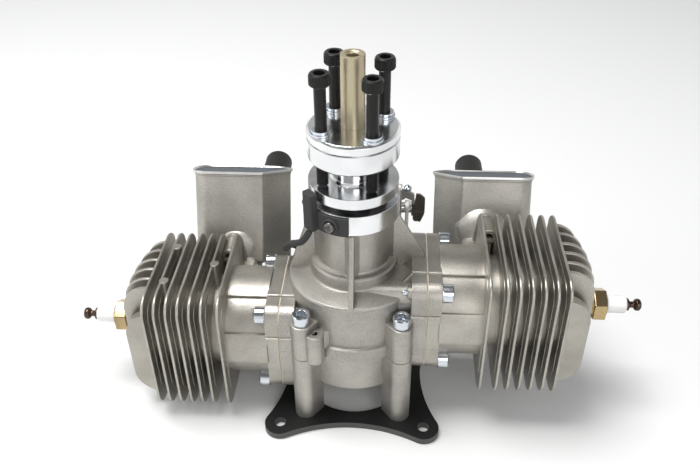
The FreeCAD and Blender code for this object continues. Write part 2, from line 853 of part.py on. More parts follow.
def prop_sleeve():
    bore_top = disc_z + stud_length + 0.5
    mouth = sleeve_thread_radius + sleeve_mouth_chamfer
    outline = [(stud_radius + press_gap, disc_z), (sleeve_seat_radius, disc_z), (sleeve_seat_radius, prop_face),
               (sleeve_radius, prop_face), (sleeve_radius, sleeve_top - 0.5),
               (sleeve_radius - 0.5, sleeve_top), (mouth, sleeve_top),
               (sleeve_thread_radius, sleeve_top - sleeve_mouth_chamfer),
               (sleeve_thread_radius, sleeve_top - sleeve_thread_depth), (0, sleeve_top - sleeve_thread_depth),
               (0, bore_top), (stud_radius + press_gap, bore_top)]
    return lathe(outline)


# Crank: a pressed assembly of two end shafts and a middle web

def counterweight(z0, z1, pin_side):
    """Web with its pin hub on one side and a half-disc counterweight on the other."""
    heavy = disc(web_radius, z0, z1).common(block(-40, 40, -40, 40, z0, z1))
    heavy = heavy.cut(block(-40, 0, -40, 40, z0 - 1, z1 + 1) if pin_side < 0 else block(0, 40, -40, 40, z0 - 1, z1 + 1))
    arm = block(min(0, pin_side * throw), max(0, pin_side * throw), -pin_hub_radius, pin_hub_radius, z0, z1)
    hub = disc(pin_hub_radius, z0, z1, pin_side * throw)
    return fuse([heavy, arm, hub, disc(pin_hub_radius, z0, z1)])


def crankshaft_front():
    seat = hub_flange_bottom
    lathe_part = lathe([(0, upper_web_z), (main_journal_radius + 2, upper_web_z),
                        (main_journal_radius + 2, chamber_roof), (main_journal_radius, chamber_roof),
                        (main_journal_radius, chamber_roof + main_bearing_width + 4),
                        (shaft_radius, chamber_roof + main_bearing_width + 6), (shaft_radius, seat),
                        (hub_seat_radius, seat), (hub_seat_radius, disc_z), (stud_radius, disc_z),
                        (stud_radius, disc_z + stud_length), (0, disc_z + stud_length)])
    body = fuse([lathe_part, counterweight(upper_web_z, upper_web_top, RIGHT)])
    return cut(body, [key_way()])


def crank_middle_web():
    z0 = bank_z["left"] + rod_slot / 2
    z1 = z0 + middle_web_thickness
    return fuse([disc(pin_hub_radius, z0, z1, throw), disc(pin_hub_radius, z0, z1, -throw),
                 block(-throw, throw, -pin_hub_radius, pin_hub_radius, z0, z1)])


def crankshaft_rear():
    journal = disc(rear_journal_radius, chamber_floor - rear_bearing_width - 1.5, lower_web_z + 1)
    collar = disc(rear_journal_radius + 1.5, chamber_floor, lower_web_z + 1)
    return fuse([journal, collar, counterweight(lower_web_z, lower_web_z + web_thickness, LEFT)])


# Rod and piston parts, built for the right-hand bank about z = 0

def crankpin():
    half = rod_slot / 2 - seat_gap
    return disc(crankpin_radius, -half, half, throw)


def big_end_cage():
    half = rod_slot / 2 - rod_gap - 0.2
    inner = crankpin_radius + running_gap
    outer = crankpin_radius + cage_thickness
    ring = disc(outer, -half, half, throw).cut(disc(inner, -half - 1, half + 1, throw))
    slots = []
    for i in range(6):
        slot = block(inner - 1, outer + 1, -0.8, 0.8, -half + 1.2, half - 1.2)
        slots.append(moved(turned(slot, 60 * i + 30), throw))
    return cut(ring, slots)


def conrod():
    half = rod_slot / 2 - rod_gap
    eye = disc(big_end_radius, -half, half, throw)
    small = disc(small_end_radius, -half, half, wrist_x)
    beam = block(throw + 4, wrist_x - 3, -rod_beam_width / 2, rod_beam_width / 2, -half + 1, half - 1)
    flutes = []
    for side in (-1, 1):
        flute = rounded_slab_flute(side * half)
        flutes.append(flute)
    body = cut(fuse([eye, small, beam]), flutes)
    holes = [disc(crankpin_radius + cage_thickness + running_gap, -half - 1, half + 1, throw),
             disc(wrist_pin_radius + running_gap, -half - 1, half + 1, wrist_x)]
    return cut(body, holes)


def rounded_slab_flute(z):
    """Long pocket down one face of the rod, which leaves an I section."""
    start, end = throw + big_end_radius + 3, wrist_x - small_end_radius - 3
    half = rod_beam_width / 2 - 1.6
    depth = 2.4
    return fuse([disc(half, z - depth, z + depth, start), disc(half, z - depth, z + depth, end),
                 block(start, end, -half, half, z - depth, z + depth)])


def ring_places():
    return [crown_x - ring_land - i * (ring_height + 2.0) - ring_height for i in range(2)]


def piston():
    skirt_x = wrist_x - piston_skirt
    body = lathe([(0, skirt_x), (piston_radius, skirt_x), (piston_radius, crown_x - 0.5),
                  (piston_radius - 0.5, crown_x), (0, crown_x + 0.6)], X)
    inner = rod(piston_radius - piston_wall, (skirt_x - 1, 0, 0), (crown_x - 4.5, 0, 0))
    bosses = rod(pin_boss_radius, (wrist_x, 0, -piston_radius), (wrist_x, 0, piston_radius))
    bosses = bosses.common(rod(piston_radius - 0.5, (skirt_x, 0, 0), (crown_x - 1, 0, 0)))
    gap = rod_slot / 2 + 0.2
    bosses = bosses.cut(block(skirt_x, crown_x, -30, 30, -gap, gap))
    grooves = [rod(piston_radius + 1, (x, 0, 0), (x + ring_height, 0, 0)).cut(
        rod(piston_radius - ring_groove_depth, (x, 0, 0), (x + ring_height, 0, 0))) for x in ring_places()]
    pin_hole = rod(wrist_pin_radius + press_gap, (wrist_x, 0, -30), (wrist_x, 0, 30))
    return cut(fuse([body.cut(inner), bosses]), grooves + [pin_hole])


def piston_rings():
    rings = []
    for x in ring_places():
        outer = rod(ring_radius, (x + 0.05, 0, 0), (x + ring_height - 0.05, 0, 0))
        inner = rod(piston_radius - ring_groove_depth + 0.1, (x - 1, 0, 0), (x + 3, 0, 0))
        gap = block(x - 1, x + 3, 0, 30, -0.2, 0.2)
        rings.append(outer.cut(inner).cut(gap))
    return group(rings)


def wrist_pin():
    half = wrist_pin_length / 2
    return rod(wrist_pin_radius, (wrist_x, 0, -half), (wrist_x, 0, half)).cut(
        rod(wrist_pin_bore, (wrist_x, 0, -half - 1), (wrist_x, 0, half + 1)))


# Cylinders with their integral heads, built for the right-hand bank about z = 0

def transfer_bulge(start, end):
    """Length of barrel that stands proud over a transfer passage."""
    face = Part.Face(Part.makePolygon([V(barrel_x - 1, r, 0) for r in (15, transfer_radius)]
                                      + [V(first_fin_x, r, 0) for r in (transfer_radius, 15)]
                                      + [V(barrel_x - 1, 15, 0)]))
    return turned(face.revolve(V(0, 0, 0), X, end - start), start, X)


def head_blade(y, thickness, top):
    """One head fin: a plate across the engine with rounded outer corners."""
    low, x0, x1 = -head_half_height, fin_one_x, head_top_x
    upper, lower = head_top_corner, head_bottom_corner
    half = math.sqrt(0.5)
    p = [V(x, y, z) for x, z in (
        (x0, low), (x1 - lower, low), (x1 - lower + lower * half, low + lower - lower * half), (x1, low + lower),
        (x1, top - upper), (x1 - upper + upper * half, top - upper + upper * half), (x1 - upper, top), (x0, top))]
    wire = Part.Wire([Part.LineSegment(p[0], p[1]).toShape(), Part.Arc(p[1], p[2], p[3]).toShape(),
                      Part.LineSegment(p[3], p[4]).toShape(), Part.Arc(p[4], p[5], p[6]).toShape(),
                      Part.LineSegment(p[6], p[7]).toShape(), Part.LineSegment(p[7], p[0]).toShape()])
    return Part.Face(wire).extrude(V(0, thickness, 0))


def head_body():
    """Head fins stacked across the engine, trimmed to one domed outline, on a round core."""
    root = fin_one_x
    front_top = head_half_height - front_head_fin_drop
    last = head_half_width - head_fin_thickness
    blades = [head_blade(-head_half_width, front_head_fin_thickness, front_top)]
    y = -head_half_width + head_fin_pitch
    while y <= last + 0.1:
        blades.append(head_blade(y, head_fin_thickness, head_half_height))
        y += head_fin_pitch
    crown = Part.Arc(V(head_shoulder_x, -head_half_width, -40), V(head_top_x, 0, -40),
                     V(head_shoulder_x, head_half_width, -40)).toShape()
    sides = [(head_shoulder_x, head_half_width), (root, head_half_width), (root, -head_half_width),
             (head_shoulder_x, -head_half_width)]
    lines = [Part.LineSegment(V(a[0], a[1], -40), V(b[0], b[1], -40)).toShape()
             for a, b in zip(sides, sides[1:])]
    dome = Part.Face(Part.Wire([crown] + lines)).extrude(V(0, 0, 80))
    fins = fuse(blades).common(dome)
    boss = rod(plug_boss_radius, (root, 0, 0), (plug_seat_x, 0, 0))
    core = lathe([(0, root - 1), (core_radius, root - 1), (core_radius, head_core_x - 2),
                  (core_radius - 4, head_core_x), (0, head_core_x)], X)
    return fuse([fins, boss, core])


def ejector_post(x, y):
    """Round casting post that stands up through a fin, a little above its edge."""
    return Part.makeCone(post_foot_radius, post_radius, post_length, V(x, y, post_top - post_length), Z)


def cylinder(side):
    flange = seat_slab(flange_x, barrel_x)
    spigot = rod(spigot_radius, (spigot_hole_x + seat_gap, 0, 0), (flange_x + 1, 0, 0))
    barrel = rod(barrel_radius, (barrel_x - 1, 0, 0), (first_fin_x, 0, 0))
    bulges = [transfer_bulge(start, end) for start, end in transfer_spans]
    core = rod(core_radius, (first_fin_x - 1, 0, 0), (fin_one_x, 0, 0))
    fins = [rounded_slab_x(fin_half_width, fin_half_height, fin_corner, x - fin_thickness / 2, x + fin_thickness / 2)
            for x in fin_places]
    port_x = (first_fin_x + second_fin_x) / 2
    port = block(port_x - port_half_width, port_x + port_half_width, 10, port_face_y,
                 -port_half_height, port_half_height)
    bosses = [rod(muffler_boss_radius, (port_x, port_face_y - muffler_boss_length, z), (port_x, port_face_y, z))
              for z in (-muffler_screw_z, muffler_screw_z)]
    webs = [block(port_x - 2.0, port_x + 2.0, port_face_y - muffler_boss_length, port_face_y,
                  min(0.5 * z, z), max(0.5 * z, z)) for z in (-muffler_screw_z, muffler_screw_z)]
    posts = []
    if SIDES[side] == LEFT:
        posts = [ejector_post(x, y) for x, y in post_places]
    body = fuse([flange, spigot, barrel, core, port, head_body()] + bulges + fins + bosses + webs + posts)
    return on_side(cut(body, cylinder_hollows(port_x)), side)


def cylinder_hollows(port_x):
    dome = lathe([(0, 20), (bore_radius, 20), (bore_radius, crown_x + 1.0),
                  (bore_radius * 0.72, crown_x + chamber_depth * 0.6), (bore_radius * 0.35, crown_x + chamber_depth),
                  (0, crown_x + chamber_depth)], X)
    tools = [dome, rod(plug_thread_radius + thread_gap, (crown_x, 0, 0), (plug_seat_x + 1, 0, 0))]
    tools += [rod(screw_hole_radius, (flange_x - 1, y, z), (barrel_x + 1, y, z))
              for y, z in corners(flange_bolt_y, flange_bolt_z)]
    tools += [rod(cap_head_radius + 0.25, (barrel_x, y, z), (barrel_x + cap_head_height + 1.5, y, z))
              for y, z in corners(flange_bolt_y, flange_bolt_z)]
    tools.append(rounded_slab_y(port_hole_half_width, port_hole_half_height, 3.0, 5, port_face_y + 1, port_x))
    tools += [rod(muffler_screw_radius + thread_gap, (port_x, port_face_y - muffler_boss_length - 1, z),
                  (port_x, port_face_y + 1, z)) for z in (-muffler_screw_z, muffler_screw_z)]
    return tools


def base_gaskets():
    sheet = seat_slab(pad_face_x, flange_x, -0.3)
    holes = [rod(spigot_radius + 0.2, (pad_face_x - 1, 0, 0), (flange_x + 1, 0, 0))]
    holes += [rod(screw_hole_radius, (pad_face_x - 1, y, z), (flange_x + 1, y, z))
              for y, z in corners(flange_bolt_y, flange_bolt_z)]
    sheet = cut(sheet, holes)
    return group(on_side(sheet, side) for side in SIDES)


def cylinder_screws():
    screws = []
    for side in SIDES:
        for y, z in corners(flange_bolt_y, flange_bolt_z):
            screws.append(on_side(aimed(cap_screw(flange_screw_length), (barrel_x, y, z), (1, 0, 0)), side))
    return group(screws)


# Spark plugs

def plug_shells():
    base = plug_seat_x + plug_gasket_height
    hex_start = base + plug_collar_height
    thread = rod(plug_thread_radius, (plug_seat_x - plug_reach, 0, 0), (base, 0, 0))
    collar = rod(plug_hex_across_flats / 2 - 0.4, (base, 0, 0), (hex_start, 0, 0))
    nut = hexagon(plug_hex_across_flats, 0, plug_hex_height)
    cone = Part.makeCone(plug_hex_across_flats / 2 + 2.2, plug_hex_across_flats / 2 - 0.6, plug_hex_height)
    nut = aimed(nut.common(cone), (hex_start, 0, 0), (1, 0, 0))
    bore = rod(insulator_stem_radius + press_gap, (0, 0, 0), (200, 0, 0))
    shell = cut(fuse([thread, collar, nut]), [bore])
    return group(on_side(shell, side) for side in SIDES)


def insulator_start():
    return plug_seat_x + plug_gasket_height + plug_collar_height + plug_hex_height


def plug_insulators():
    start = insulator_start()
    outline = [(0, plug_seat_x - plug_reach + 2), (insulator_stem_radius - 1, plug_seat_x - plug_reach + 2),
               (insulator_stem_radius, plug_seat_x), (insulator_stem_radius, start),
               (insulator_radius, start), (insulator_radius, start + insulator_length - 0.5),
               (insulator_radius - 0.5, start + insulator_length), (0, start + insulator_length)]
    return group(on_side(lathe(outline, X), side) for side in SIDES)


def plug_terminals():
    start = insulator_start() + insulator_length
    end = start + terminal_length
    outline = [(0, start), (terminal_radius, start), (terminal_radius, start + 1.0), (1.5, start + 1.8),
               (1.5, start + 3.4), (terminal_radius - 0.4, start + 4.2), (terminal_radius, start + 4.8),
               (terminal_radius, end - 0.6), (terminal_radius - 0.6, end), (0, end)]
    return group(on_side(lathe(outline, X), side) for side in SIDES)


def plug_gaskets():
    ring = rod(plug_hex_across_flats / 2 - 0.2, (plug_seat_x, 0, 0), (plug_seat_x + plug_gasket_height, 0, 0))
    ring = ring.cut(rod(plug_thread_radius + 0.1, (0, 0, 0), (200, 0, 0)))
    return group(on_side(ring, side) for side in SIDES)


# Silencers, built for the right-hand side; the left one is its mirror image

def can_outline(grow, z):
    """Plan of the can: flat front, rounded outer side and a slanted inner side."""
    inner, outer = can_inner_reach + grow, can_outer_reach + grow
    front, back = -grow, can_depth + grow
    middle = can_depth / 2
    points = [(-can_flat_inner - grow / 2, front), (can_flat_outer, front), (outer - 2.0, middle - 6.0),
              (outer, middle), (outer - 2.2, back - 3.0), (can_flat_outer - 2, back), (-can_flat_inner - 4, back),
              (-inner + 1.8, back - 3.5), (-inner, middle + 3.0)]
    p = [V(x, y, z) for x, y in points]
    return Part.Wire([Part.LineSegment(p[0], p[1]).toShape(), Part.Arc(p[1], p[2], p[3]).toShape(),
                      Part.Arc(p[3], p[4], p[5]).toShape(), Part.LineSegment(p[5], p[6]).toShape(),
                      Part.Arc(p[6], p[7], p[8]).toShape(), Part.LineSegment(p[8], p[0]).toShape()])


def leaned(shape, side):
    """Carry a can part, built below z = 0 with its front on y = 0, to its place behind the cylinder."""
    return moved(turned(shape, -can_lean, X), can_center_x[side], can_top_y, can_top_z)


def sided(shape, side):
    return shape.mirror(V(0, 0, 0), X) if SIDES[side] == LEFT else shape


def can_front_y(z):
    return can_top_y - (can_top_z - z) * math.tan(lean)


def muffler(side):
    port_x = (first_fin_x + second_fin_x) / 2
    centre = bank_z[side]
    start = port_face_y + gasket_thickness
    shell = Part.Face(can_outline(0, -can_length)).extrude(V(0, 0, can_length))
    hollow = Part.Face(can_outline(-can_wall, -can_length + can_wall)).extrude(V(0, 0, can_length))
    can = leaned(shell, side)
    back = start + ear_thickness
    flange = rounded_slab_y(port_half_width, port_half_height - 0.5, 3.0, start, back, port_x, centre)
    ears = [rod(muffler_boss_radius, (port_x, start, centre + z), (port_x, back, centre + z))
            for z in (-muffler_screw_z, muffler_screw_z)]
    ears.append(block(port_x - ear_link_half_width, port_x + ear_link_half_width, start, back,
                      centre - muffler_screw_z, centre + muffler_screw_z))
    neck = muffler_neck(start, port_x, centre)
    pipe = rod(outlet_tube_inner - running_gap, (outlet_x[side], outlet_tube_start_y - 8, outlet_z),
               (outlet_x[side], outlet_pipe_y, outlet_z))
    body = fuse([can, neck, flange, pipe] + ears)
    tools = [leaned(hollow, side), muffler_throat(start, port_x, centre),
             rod(outlet_pipe_inner, (outlet_x[side], outlet_tube_start_y - 16, outlet_z),
                 (outlet_x[side], outlet_pipe_y + 1, outlet_z))]
    tools += [rod(muffler_screw_radius + 0.15, (port_x, start - 1, centre + z), (port_x, back + 1, centre + z))
              for z in (-muffler_screw_z, muffler_screw_z)]
    return sided(cut(body, tools), side)


def can_bottom_z():
    return can_top_z - can_length * math.cos(lean)


def neck_section(y, x, z0, z1, half, corner):
    """Rounded section of the exhaust neck, at one distance behind the cylinder."""
    centre, half_z = (z0 + z1) / 2, (z1 - z0) / 2
    return rounded_outline(half, half_z, corner, lambda u, v: V(x + u, y, centre + v))


def muffler_neck(start, port_x, centre):
    """Flared neck: round at the flange, wider and higher where it meets the can."""
    top = centre + neck_rise
    floor = max(centre - 6.0, can_bottom_z() + 3.0)
    sections = [neck_section(start + 0.5, port_x, centre - 8.5, centre + 8.5, 9.0, 6.0),
                neck_section(start + 5.0, port_x, centre - 5.0, centre + 12.5, 10.5, 7.5),
                neck_section(start + 9.5, port_x, (centre - 3.0 + floor) / 2, top - 2.0, 13.0, 7.0),
                neck_section(start + 15.0, port_x, floor, top, 15.0, 5.0)]
    return Part.makeLoft(sections, True, False)


def muffler_throat(start, port_x, centre):
    """Gas passage from the port through the neck into the can."""
    near = neck_section(start - 1, port_x, centre - 5.5, centre + 6.0, port_hole_half_width - 1.0, 3.0)
    far_z = max(centre, can_bottom_z() + 8)
    far = neck_section(can_front_y(far_z) + 8, port_x, far_z - 4, far_z + 5, port_hole_half_width, 3.0)
    return Part.makeLoft([near, far], True, False)


def muffler_lid(side):
    rim = Part.Face(can_outline(lid_rim, 0)).extrude(V(0, 0, lid_height))
    dish = Part.Face(can_outline(lid_rim - lid_rim_width, lid_height - lid_dish)).extrude(V(0, 0, 3))
    return sided(leaned(rim.cut(dish), side), side)


def outlet_tube(side):
    x = outlet_x[side]
    outer = rod(outlet_tube_outer, (x, outlet_tube_start_y, outlet_z), (x, outlet_tube_end_y, outlet_z))
    inner = rod(outlet_tube_inner, (x, outlet_tube_start_y - 1, outlet_z), (x, outlet_tube_end_y + 1, outlet_z))
    return sided(outer.cut(inner), side)


def exhaust_gaskets():
    port_x = (first_fin_x + second_fin_x) / 2
    sheet = rounded_slab_y(port_half_width - 0.3, port_half_height - 0.7, 3.0, port_face_y,
                           port_face_y + gasket_thickness, port_x)
    hole = rounded_slab_y(port_hole_half_width, port_hole_half_height, 3.0, port_face_y - 1,
                          port_face_y + 2, port_x)
    sheet = sheet.cut(hole)
    return group(on_side(sheet, side) for side in SIDES)


def muffler_screws():
    """Each screw goes in from behind the silencer's ear and stops short in the cylinder's open boss."""
    port_x = (first_fin_x + second_fin_x) / 2
    head = disc(muffler_screw_head, 0, muffler_screw_head_height).cut(hexagon(2.5, 1.0, 3.0))
    seat_y = port_face_y + gasket_thickness + ear_thickness
    length = ear_thickness + gasket_thickness + muffler_boss_length - muffler_boss_open
    screw = fuse([head, disc(muffler_screw_radius, -length, 0)])
    screws = []
    for side in SIDES:
        for z in (-muffler_screw_z, muffler_screw_z):
            screws.append(on_side(aimed(screw, (port_x, seat_y, z), (0, 1, 0)), side))
    return group(screws)


# Intake: reed block, insulator and carburettor

def intake_holes(radius, y0, y1):
    return [rod(radius, (x, y0, carb_z + z), (x, y1, carb_z + z)) for x, z in corners(12.5, 10.0)]


def reed_block():
    y0 = intake_pad_back
    y1 = y0 + reed_block_depth
    body = rounded_slab_y(intake_pad_half_width, intake_pad_half_height, 5.0, y0, y1, 0, carb_z)
    mouth = rounded_slab_y(11.0, 7.0, 3.0, y0 - 1, y1 - 3, 0, carb_z)
    return cut(body, [mouth, rod(intake_port_radius, (0, y0, carb_z), (0, y1 + 1, carb_z))]
               + intake_holes(1.7, y0 - 1, y1 + 1))


def reed_petals():
    """Two thin leaves lying in a V on their wedge, inside the block's mouth."""
    y0 = intake_pad_back + 0.8
    leaf = block(-9.5, 9.5, 0, 6.0, 0, 0.25)
    upper = moved(turned(leaf, 38, X), 0, y0, carb_z + 0.6)
    lower = moved(turned(moved(leaf, z=-0.25), -38, X), 0, y0, carb_z - 0.6)
    wedge = polygon_prism([(-9.0, y0 - 0.6, carb_z + 0.45), (-9.0, y0 + 5.5, carb_z + 4.6),
                           (-9.0, y0 + 5.5, carb_z + 3.4), (-9.0, y0 + 0.6, carb_z), (-9.0, y0 + 5.5, carb_z - 3.4),
                           (-9.0, y0 + 5.5, carb_z - 4.6), (-9.0, y0 - 0.6, carb_z - 0.45)], (18.0, 0, 0))
    rim = rounded_slab_y(10.9, 6.9, 3.0, y0 + 4.6, y0 + 6.1, 0, carb_z).cut(
        block(-8.5, 8.5, y0 + 4, y0 + 7, carb_z - 3.6, carb_z + 3.6))
    return group([upper, lower, fuse([wedge, rim])])


def carb_insulator():
    y0 = intake_pad_back + reed_block_depth
    y1 = y0 + insulator_depth
    body = rounded_slab_y(intake_pad_half_width, intake_pad_half_height, 5.0, y0, y1, 0, carb_z)
    return cut(body, [rod(intake_port_radius, (0, y0 - 1, carb_z), (0, y1 + 1, carb_z))]
               + intake_holes(1.7, y0 - 1, y1 + 1))


def carb_body():
    y0, y1 = carb_front_y, carb_back_y
    body = rounded_slab_y(carb_half_width, carb_half_height, 3.0, y0, y1, 0, carb_z)
    cover = rounded_slab_z(carb_half_width - 1.5, (y1 - y0) / 2 - 2, 2.5, carb_z + carb_half_height,
                           carb_z + carb_half_height + 3.0, 0, (y0 + y1) / 2)
    pump = rounded_slab_z(carb_half_width - 1.5, (y1 - y0) / 2 - 2, 2.5, carb_z - carb_half_height - 3.0,
                          carb_z - carb_half_height, 0, (y0 + y1) / 2)
    bell = lathe_y([(carb_bore_radius + 3.5, y1 - 0.5), (carb_bore_radius + 4.5, y1 + 2.0), (0, y1 + 2.0),
                    (0, y1 - 0.5)])
    tools = [rod(carb_bore_radius, (0, y0 - 1, carb_z), (0, y1 + 5, carb_z))]
    tools += [rod(spindle_radius + running_gap, (-40, y, carb_z), (40, y, carb_z)) for y in (throttle_y, choke_y)]
    tools += [rod(1.7, (x, y0 - 1, carb_z + z), (x, y1 + 5, carb_z + z)) for x, z in ((-12.5, 10.0), (12.5, -10.0))]
    tools += [rod(1.6 + thread_gap, (-carb_half_width - 1, y, carb_z - 6), (-carb_half_width + 8, y, carb_z - 6))
              for y in needle_places()]
    x, y, z = nipple_place()
    tools.append(rod(nipple_radius + press_gap, (x, y - nipple_seat_depth - seat_gap, z), (x, y + 1, z)))
    return cut(fuse([body, cover, pump, bell]), tools)


def rounded_slab_z(half_x, half_y, corner, z0, z1, x=0.0, y=0.0):
    wire = rounded_outline(half_x, half_y, corner, lambda u, v: V(x + u, y + v, z0))
    return Part.Face(wire).extrude(V(0, 0, z1 - z0))


def lathe_y(profile):
    return moved(lathe(profile, Y), z=carb_z)


def needle_places():
    return (throttle_y + needle_first, throttle_y + needle_first + needle_pitch)


def carb_screws():
    """Two long mounting screws and the two mixture needles."""
    head = disc(2.8, 0, 2.2).cut(hexagon(2.5, 0.9, 3.0))
    start = carb_back_y
    length = start - intake_pad_back + carb_screw_bite
    long_screw = fuse([head, disc(1.5, -length, 0)])
    pieces = [aimed(long_screw, (x, start, carb_z + z), (0, 1, 0)) for x, z in ((-12.5, 10.0), (12.5, -10.0))]
    needle = fuse([disc(1.6, -6.0, 3.0), disc(2.3, 3.0, 5.0)]).cut(block(-3, 3, -0.3, 0.3, 4.2, 6))
    pieces += [aimed(needle, (-carb_half_width, y, carb_z - 6), (-1, 0, 0)) for y in needle_places()]
    return group(pieces)


def fuel_nipple():
    outline = [(0.8, -nipple_seat_depth), (nipple_radius, -nipple_seat_depth), (nipple_radius, 0), (2.8, 0),
               (2.8, 1.2), (nipple_radius, 1.2), (nipple_radius, nipple_length - 0.8),
               (nipple_radius - 0.5, nipple_length), (0.8, nipple_length)]
    return aimed(lathe(outline), nipple_place(), (0, 1, 0))


def nipple_place():
    return (-12.0, carb_back_y, carb_z - 9.5)


def spindle(y, reach):
    """Butterfly spindle with its plate, open along the bore."""
    bar = rod(spindle_radius, (-carb_half_width - 1.5, y, carb_z), (reach, y, carb_z))
    half = butterfly_thickness / 2
    plate = disc(butterfly_radius, carb_z - half, carb_z + half, 0, y)
    return fuse([bar, plate])


def throttle_shaft():
    return spindle(throttle_y, throttle_spindle_reach)


def lever_plate(x, y, z, top_y, top_z):
    """Flat arm in the YZ plane from a hub on the spindle to a rounded tip."""
    hub = rod(lever_hub_radius, (x, y, z), (x + lever_thickness, y, z))
    tip = rod(2.6, (x, top_y, top_z), (x + lever_thickness, top_y, top_z))
    along = V(0, top_y - y, top_z - z)
    across = V(0, -along.z, along.y).normalize()
    points = []
    for base, half in ((V(x, y, z), 3.2), (V(x, top_y, top_z), 2.5)):
        points += [base + across * half, base - across * half]
    points = [points[0], points[1], points[3], points[2]]
    arm = polygon_prism([tuple(p) for p in points], (lever_thickness, 0, 0))
    return fuse([hub, tip, arm])


def throttle_ball_place():
    """Centre of the ball at the lever's tip, in the YZ plane."""
    return (throttle_y + 0.8, carb_z + lever_length)


def throttle_stud_place():
    return (throttle_y + 0.4, carb_z + lever_stud_height)


def throttle_lever():
    """Die-cast lever: an arm on the spindle, a face plate folded across it, the ball and the stud."""
    x = throttle_spindle_reach - lever_thickness
    outer = throttle_spindle_reach
    ball_y, ball_z = throttle_ball_place()
    stud_y, stud_z = throttle_stud_place()
    arm = lever_plate(x, throttle_y, carb_z, ball_y, ball_z)
    neck = rod(1.1, (x, ball_y, ball_z), (outer + lever_ball_offset, ball_y, ball_z))
    ball = Part.makeSphere(lever_ball_radius, V(outer + lever_ball_offset, ball_y, ball_z))
    face = block(x, outer + lever_face_reach, stud_y - 0.6, stud_y + 0.9, stud_z + 3.2, ball_z - lever_ball_radius + 0.4)
    lip = block(outer + lever_face_reach - 1.4, outer + lever_face_reach, stud_y - 0.6, stud_y + 4.0,
                stud_z + 3.2, ball_z - lever_ball_radius + 0.4)
    shank_end = outer + link_offset + link_eye_half_width + 0.3
    stud = rod(link_stud_radius, (x, stud_y, stud_z), (shank_end, stud_y, stud_z))
    head_start = shank_end - 0.1
    head_end = head_start + link_stud_head_height
    head = rod(link_stud_head_radius, (head_start, stud_y, stud_z), (head_end, stud_y, stud_z))
    body = fuse([arm, neck, ball, face, lip, stud, head])
    through = outer + lever_thickness + 2
    return cut(body, [rod(spindle_radius + press_gap, (x - 1, throttle_y, carb_z), (through, throttle_y, carb_z))])


def throttle_link():
    """Push rod with an eye on the lever's stud, hanging straight down."""
    x = throttle_spindle_reach + link_offset
    stud_y, stud_z = throttle_stud_place()
    near = x - link_eye_half_width
    far = x + link_eye_half_width
    eye = rod(link_eye_radius, (near, stud_y, stud_z), (far, stud_y, stud_z))
    start = stud_z - link_stud_radius - 0.2
    bar = rod(link_rod_radius, (x, stud_y, start), (x, stud_y, stud_z - link_rod_length))
    neck_end = stud_z - link_eye_radius - link_neck_length
    neck_top = stud_z - link_stud_head_radius - running_gap
    neck = rod(link_neck_radius, (x, stud_y, neck_top), (x, stud_y, neck_end))
    hole = rod(link_stud_radius + running_gap, (near - 1, stud_y, stud_z), (far + 1, stud_y, stud_z))
    return fuse([eye, neck, bar]).cut(hole)


def choke_shaft():
    """Choke spindle with its plate and its folded lever, whose face stands across the spindle."""
    x = choke_spindle_reach - lever_thickness
    front = choke_y - lever_hub_radius
    back = front + lever_thickness
    lever = lever_plate(x, choke_y, carb_z, choke_y - 1.0, choke_tab_top - 2.6)
    face = block(x, choke_tab_reach, front, back, choke_tab_bottom, choke_tab_top)
    ties = block(x, choke_spindle_reach, front, choke_y, choke_tab_bottom + 4, choke_tab_top - 2)
    toe = block(x, choke_tab_reach, front, front + 4.5, choke_tab_bottom, choke_tab_bottom + lever_thickness)
    return fuse([spindle(choke_y, choke_spindle_reach), lever, face, ties, toe])


# Sensor lead

def smooth_path(route):
    """Straight runs joined by tangent arcs, each as large as its two runs allow."""
    points = [V(*p) for p in route]
    edges = []
    here = points[0]
    for before, corner, after in zip(points, points[1:], points[2:]):
        into = corner - before
        out = after - corner
        shorter = min(into.Length, out.Length)
        turn = into.getAngle(out)
        radius = 0.45 * shorter / math.tan(turn / 2)
        reach = radius * math.tan(turn / 2)
        start = corner - into.normalize() * reach
        end = corner + out.normalize() * reach
        inward = (out - into).normalize()
        middle = corner + inward * (radius / math.cos(turn / 2) - radius)
        edges.append(Part.LineSegment(here, start).toShape())
        edges.append(Part.Arc(start, middle, end).toShape())
        here = end
        print("lead radius %.1f" % radius)
    edges.append(Part.LineSegment(here, points[-1]).toShape())
    return Part.Wire(edges)


def sensor_lead():
    path = smooth_path(lead_route)
    start = V(*lead_route[0])
    heading = V(*lead_route[1]) - start
    circle = Part.Wire(Part.Circle(start, heading, lead_radius).toShape())
    tube = path.makePipeShell([circle], True, False)
    section = math.pi * lead_radius ** 2
    print("lead length %.1f, volume over section %.1f" % (path.Length, tube.Volume / section))
    return tube


def lead_plug():
    """Three-way connector on the end of the lead, lying flat on the table."""
    end, before = V(*lead_route[-1]), V(*lead_route[-2])
    heading = math.degrees(math.atan2(end.y - before.y, end.x - before.x))
    half = plug_body_width / 2
    low = lead_radius + 0.3
    body = block(0, plug_body_length, -half, half, -min(low, end.z), plug_body_height - low)
    neck = block(0, 2.0, -half + 1, half - 1, -0.8, 0.8)
    slots = [block(plug_body_length - 6, plug_body_length + 1, y - 0.6, y + 0.6, -0.6, 0.6) for y in (-2.5, 0, 2.5)]
    shape = fuse([body, neck]).cut(slots)
    return moved(turned(shape, heading), end.x, end.y, end.z)


# Every node of the engine, by name

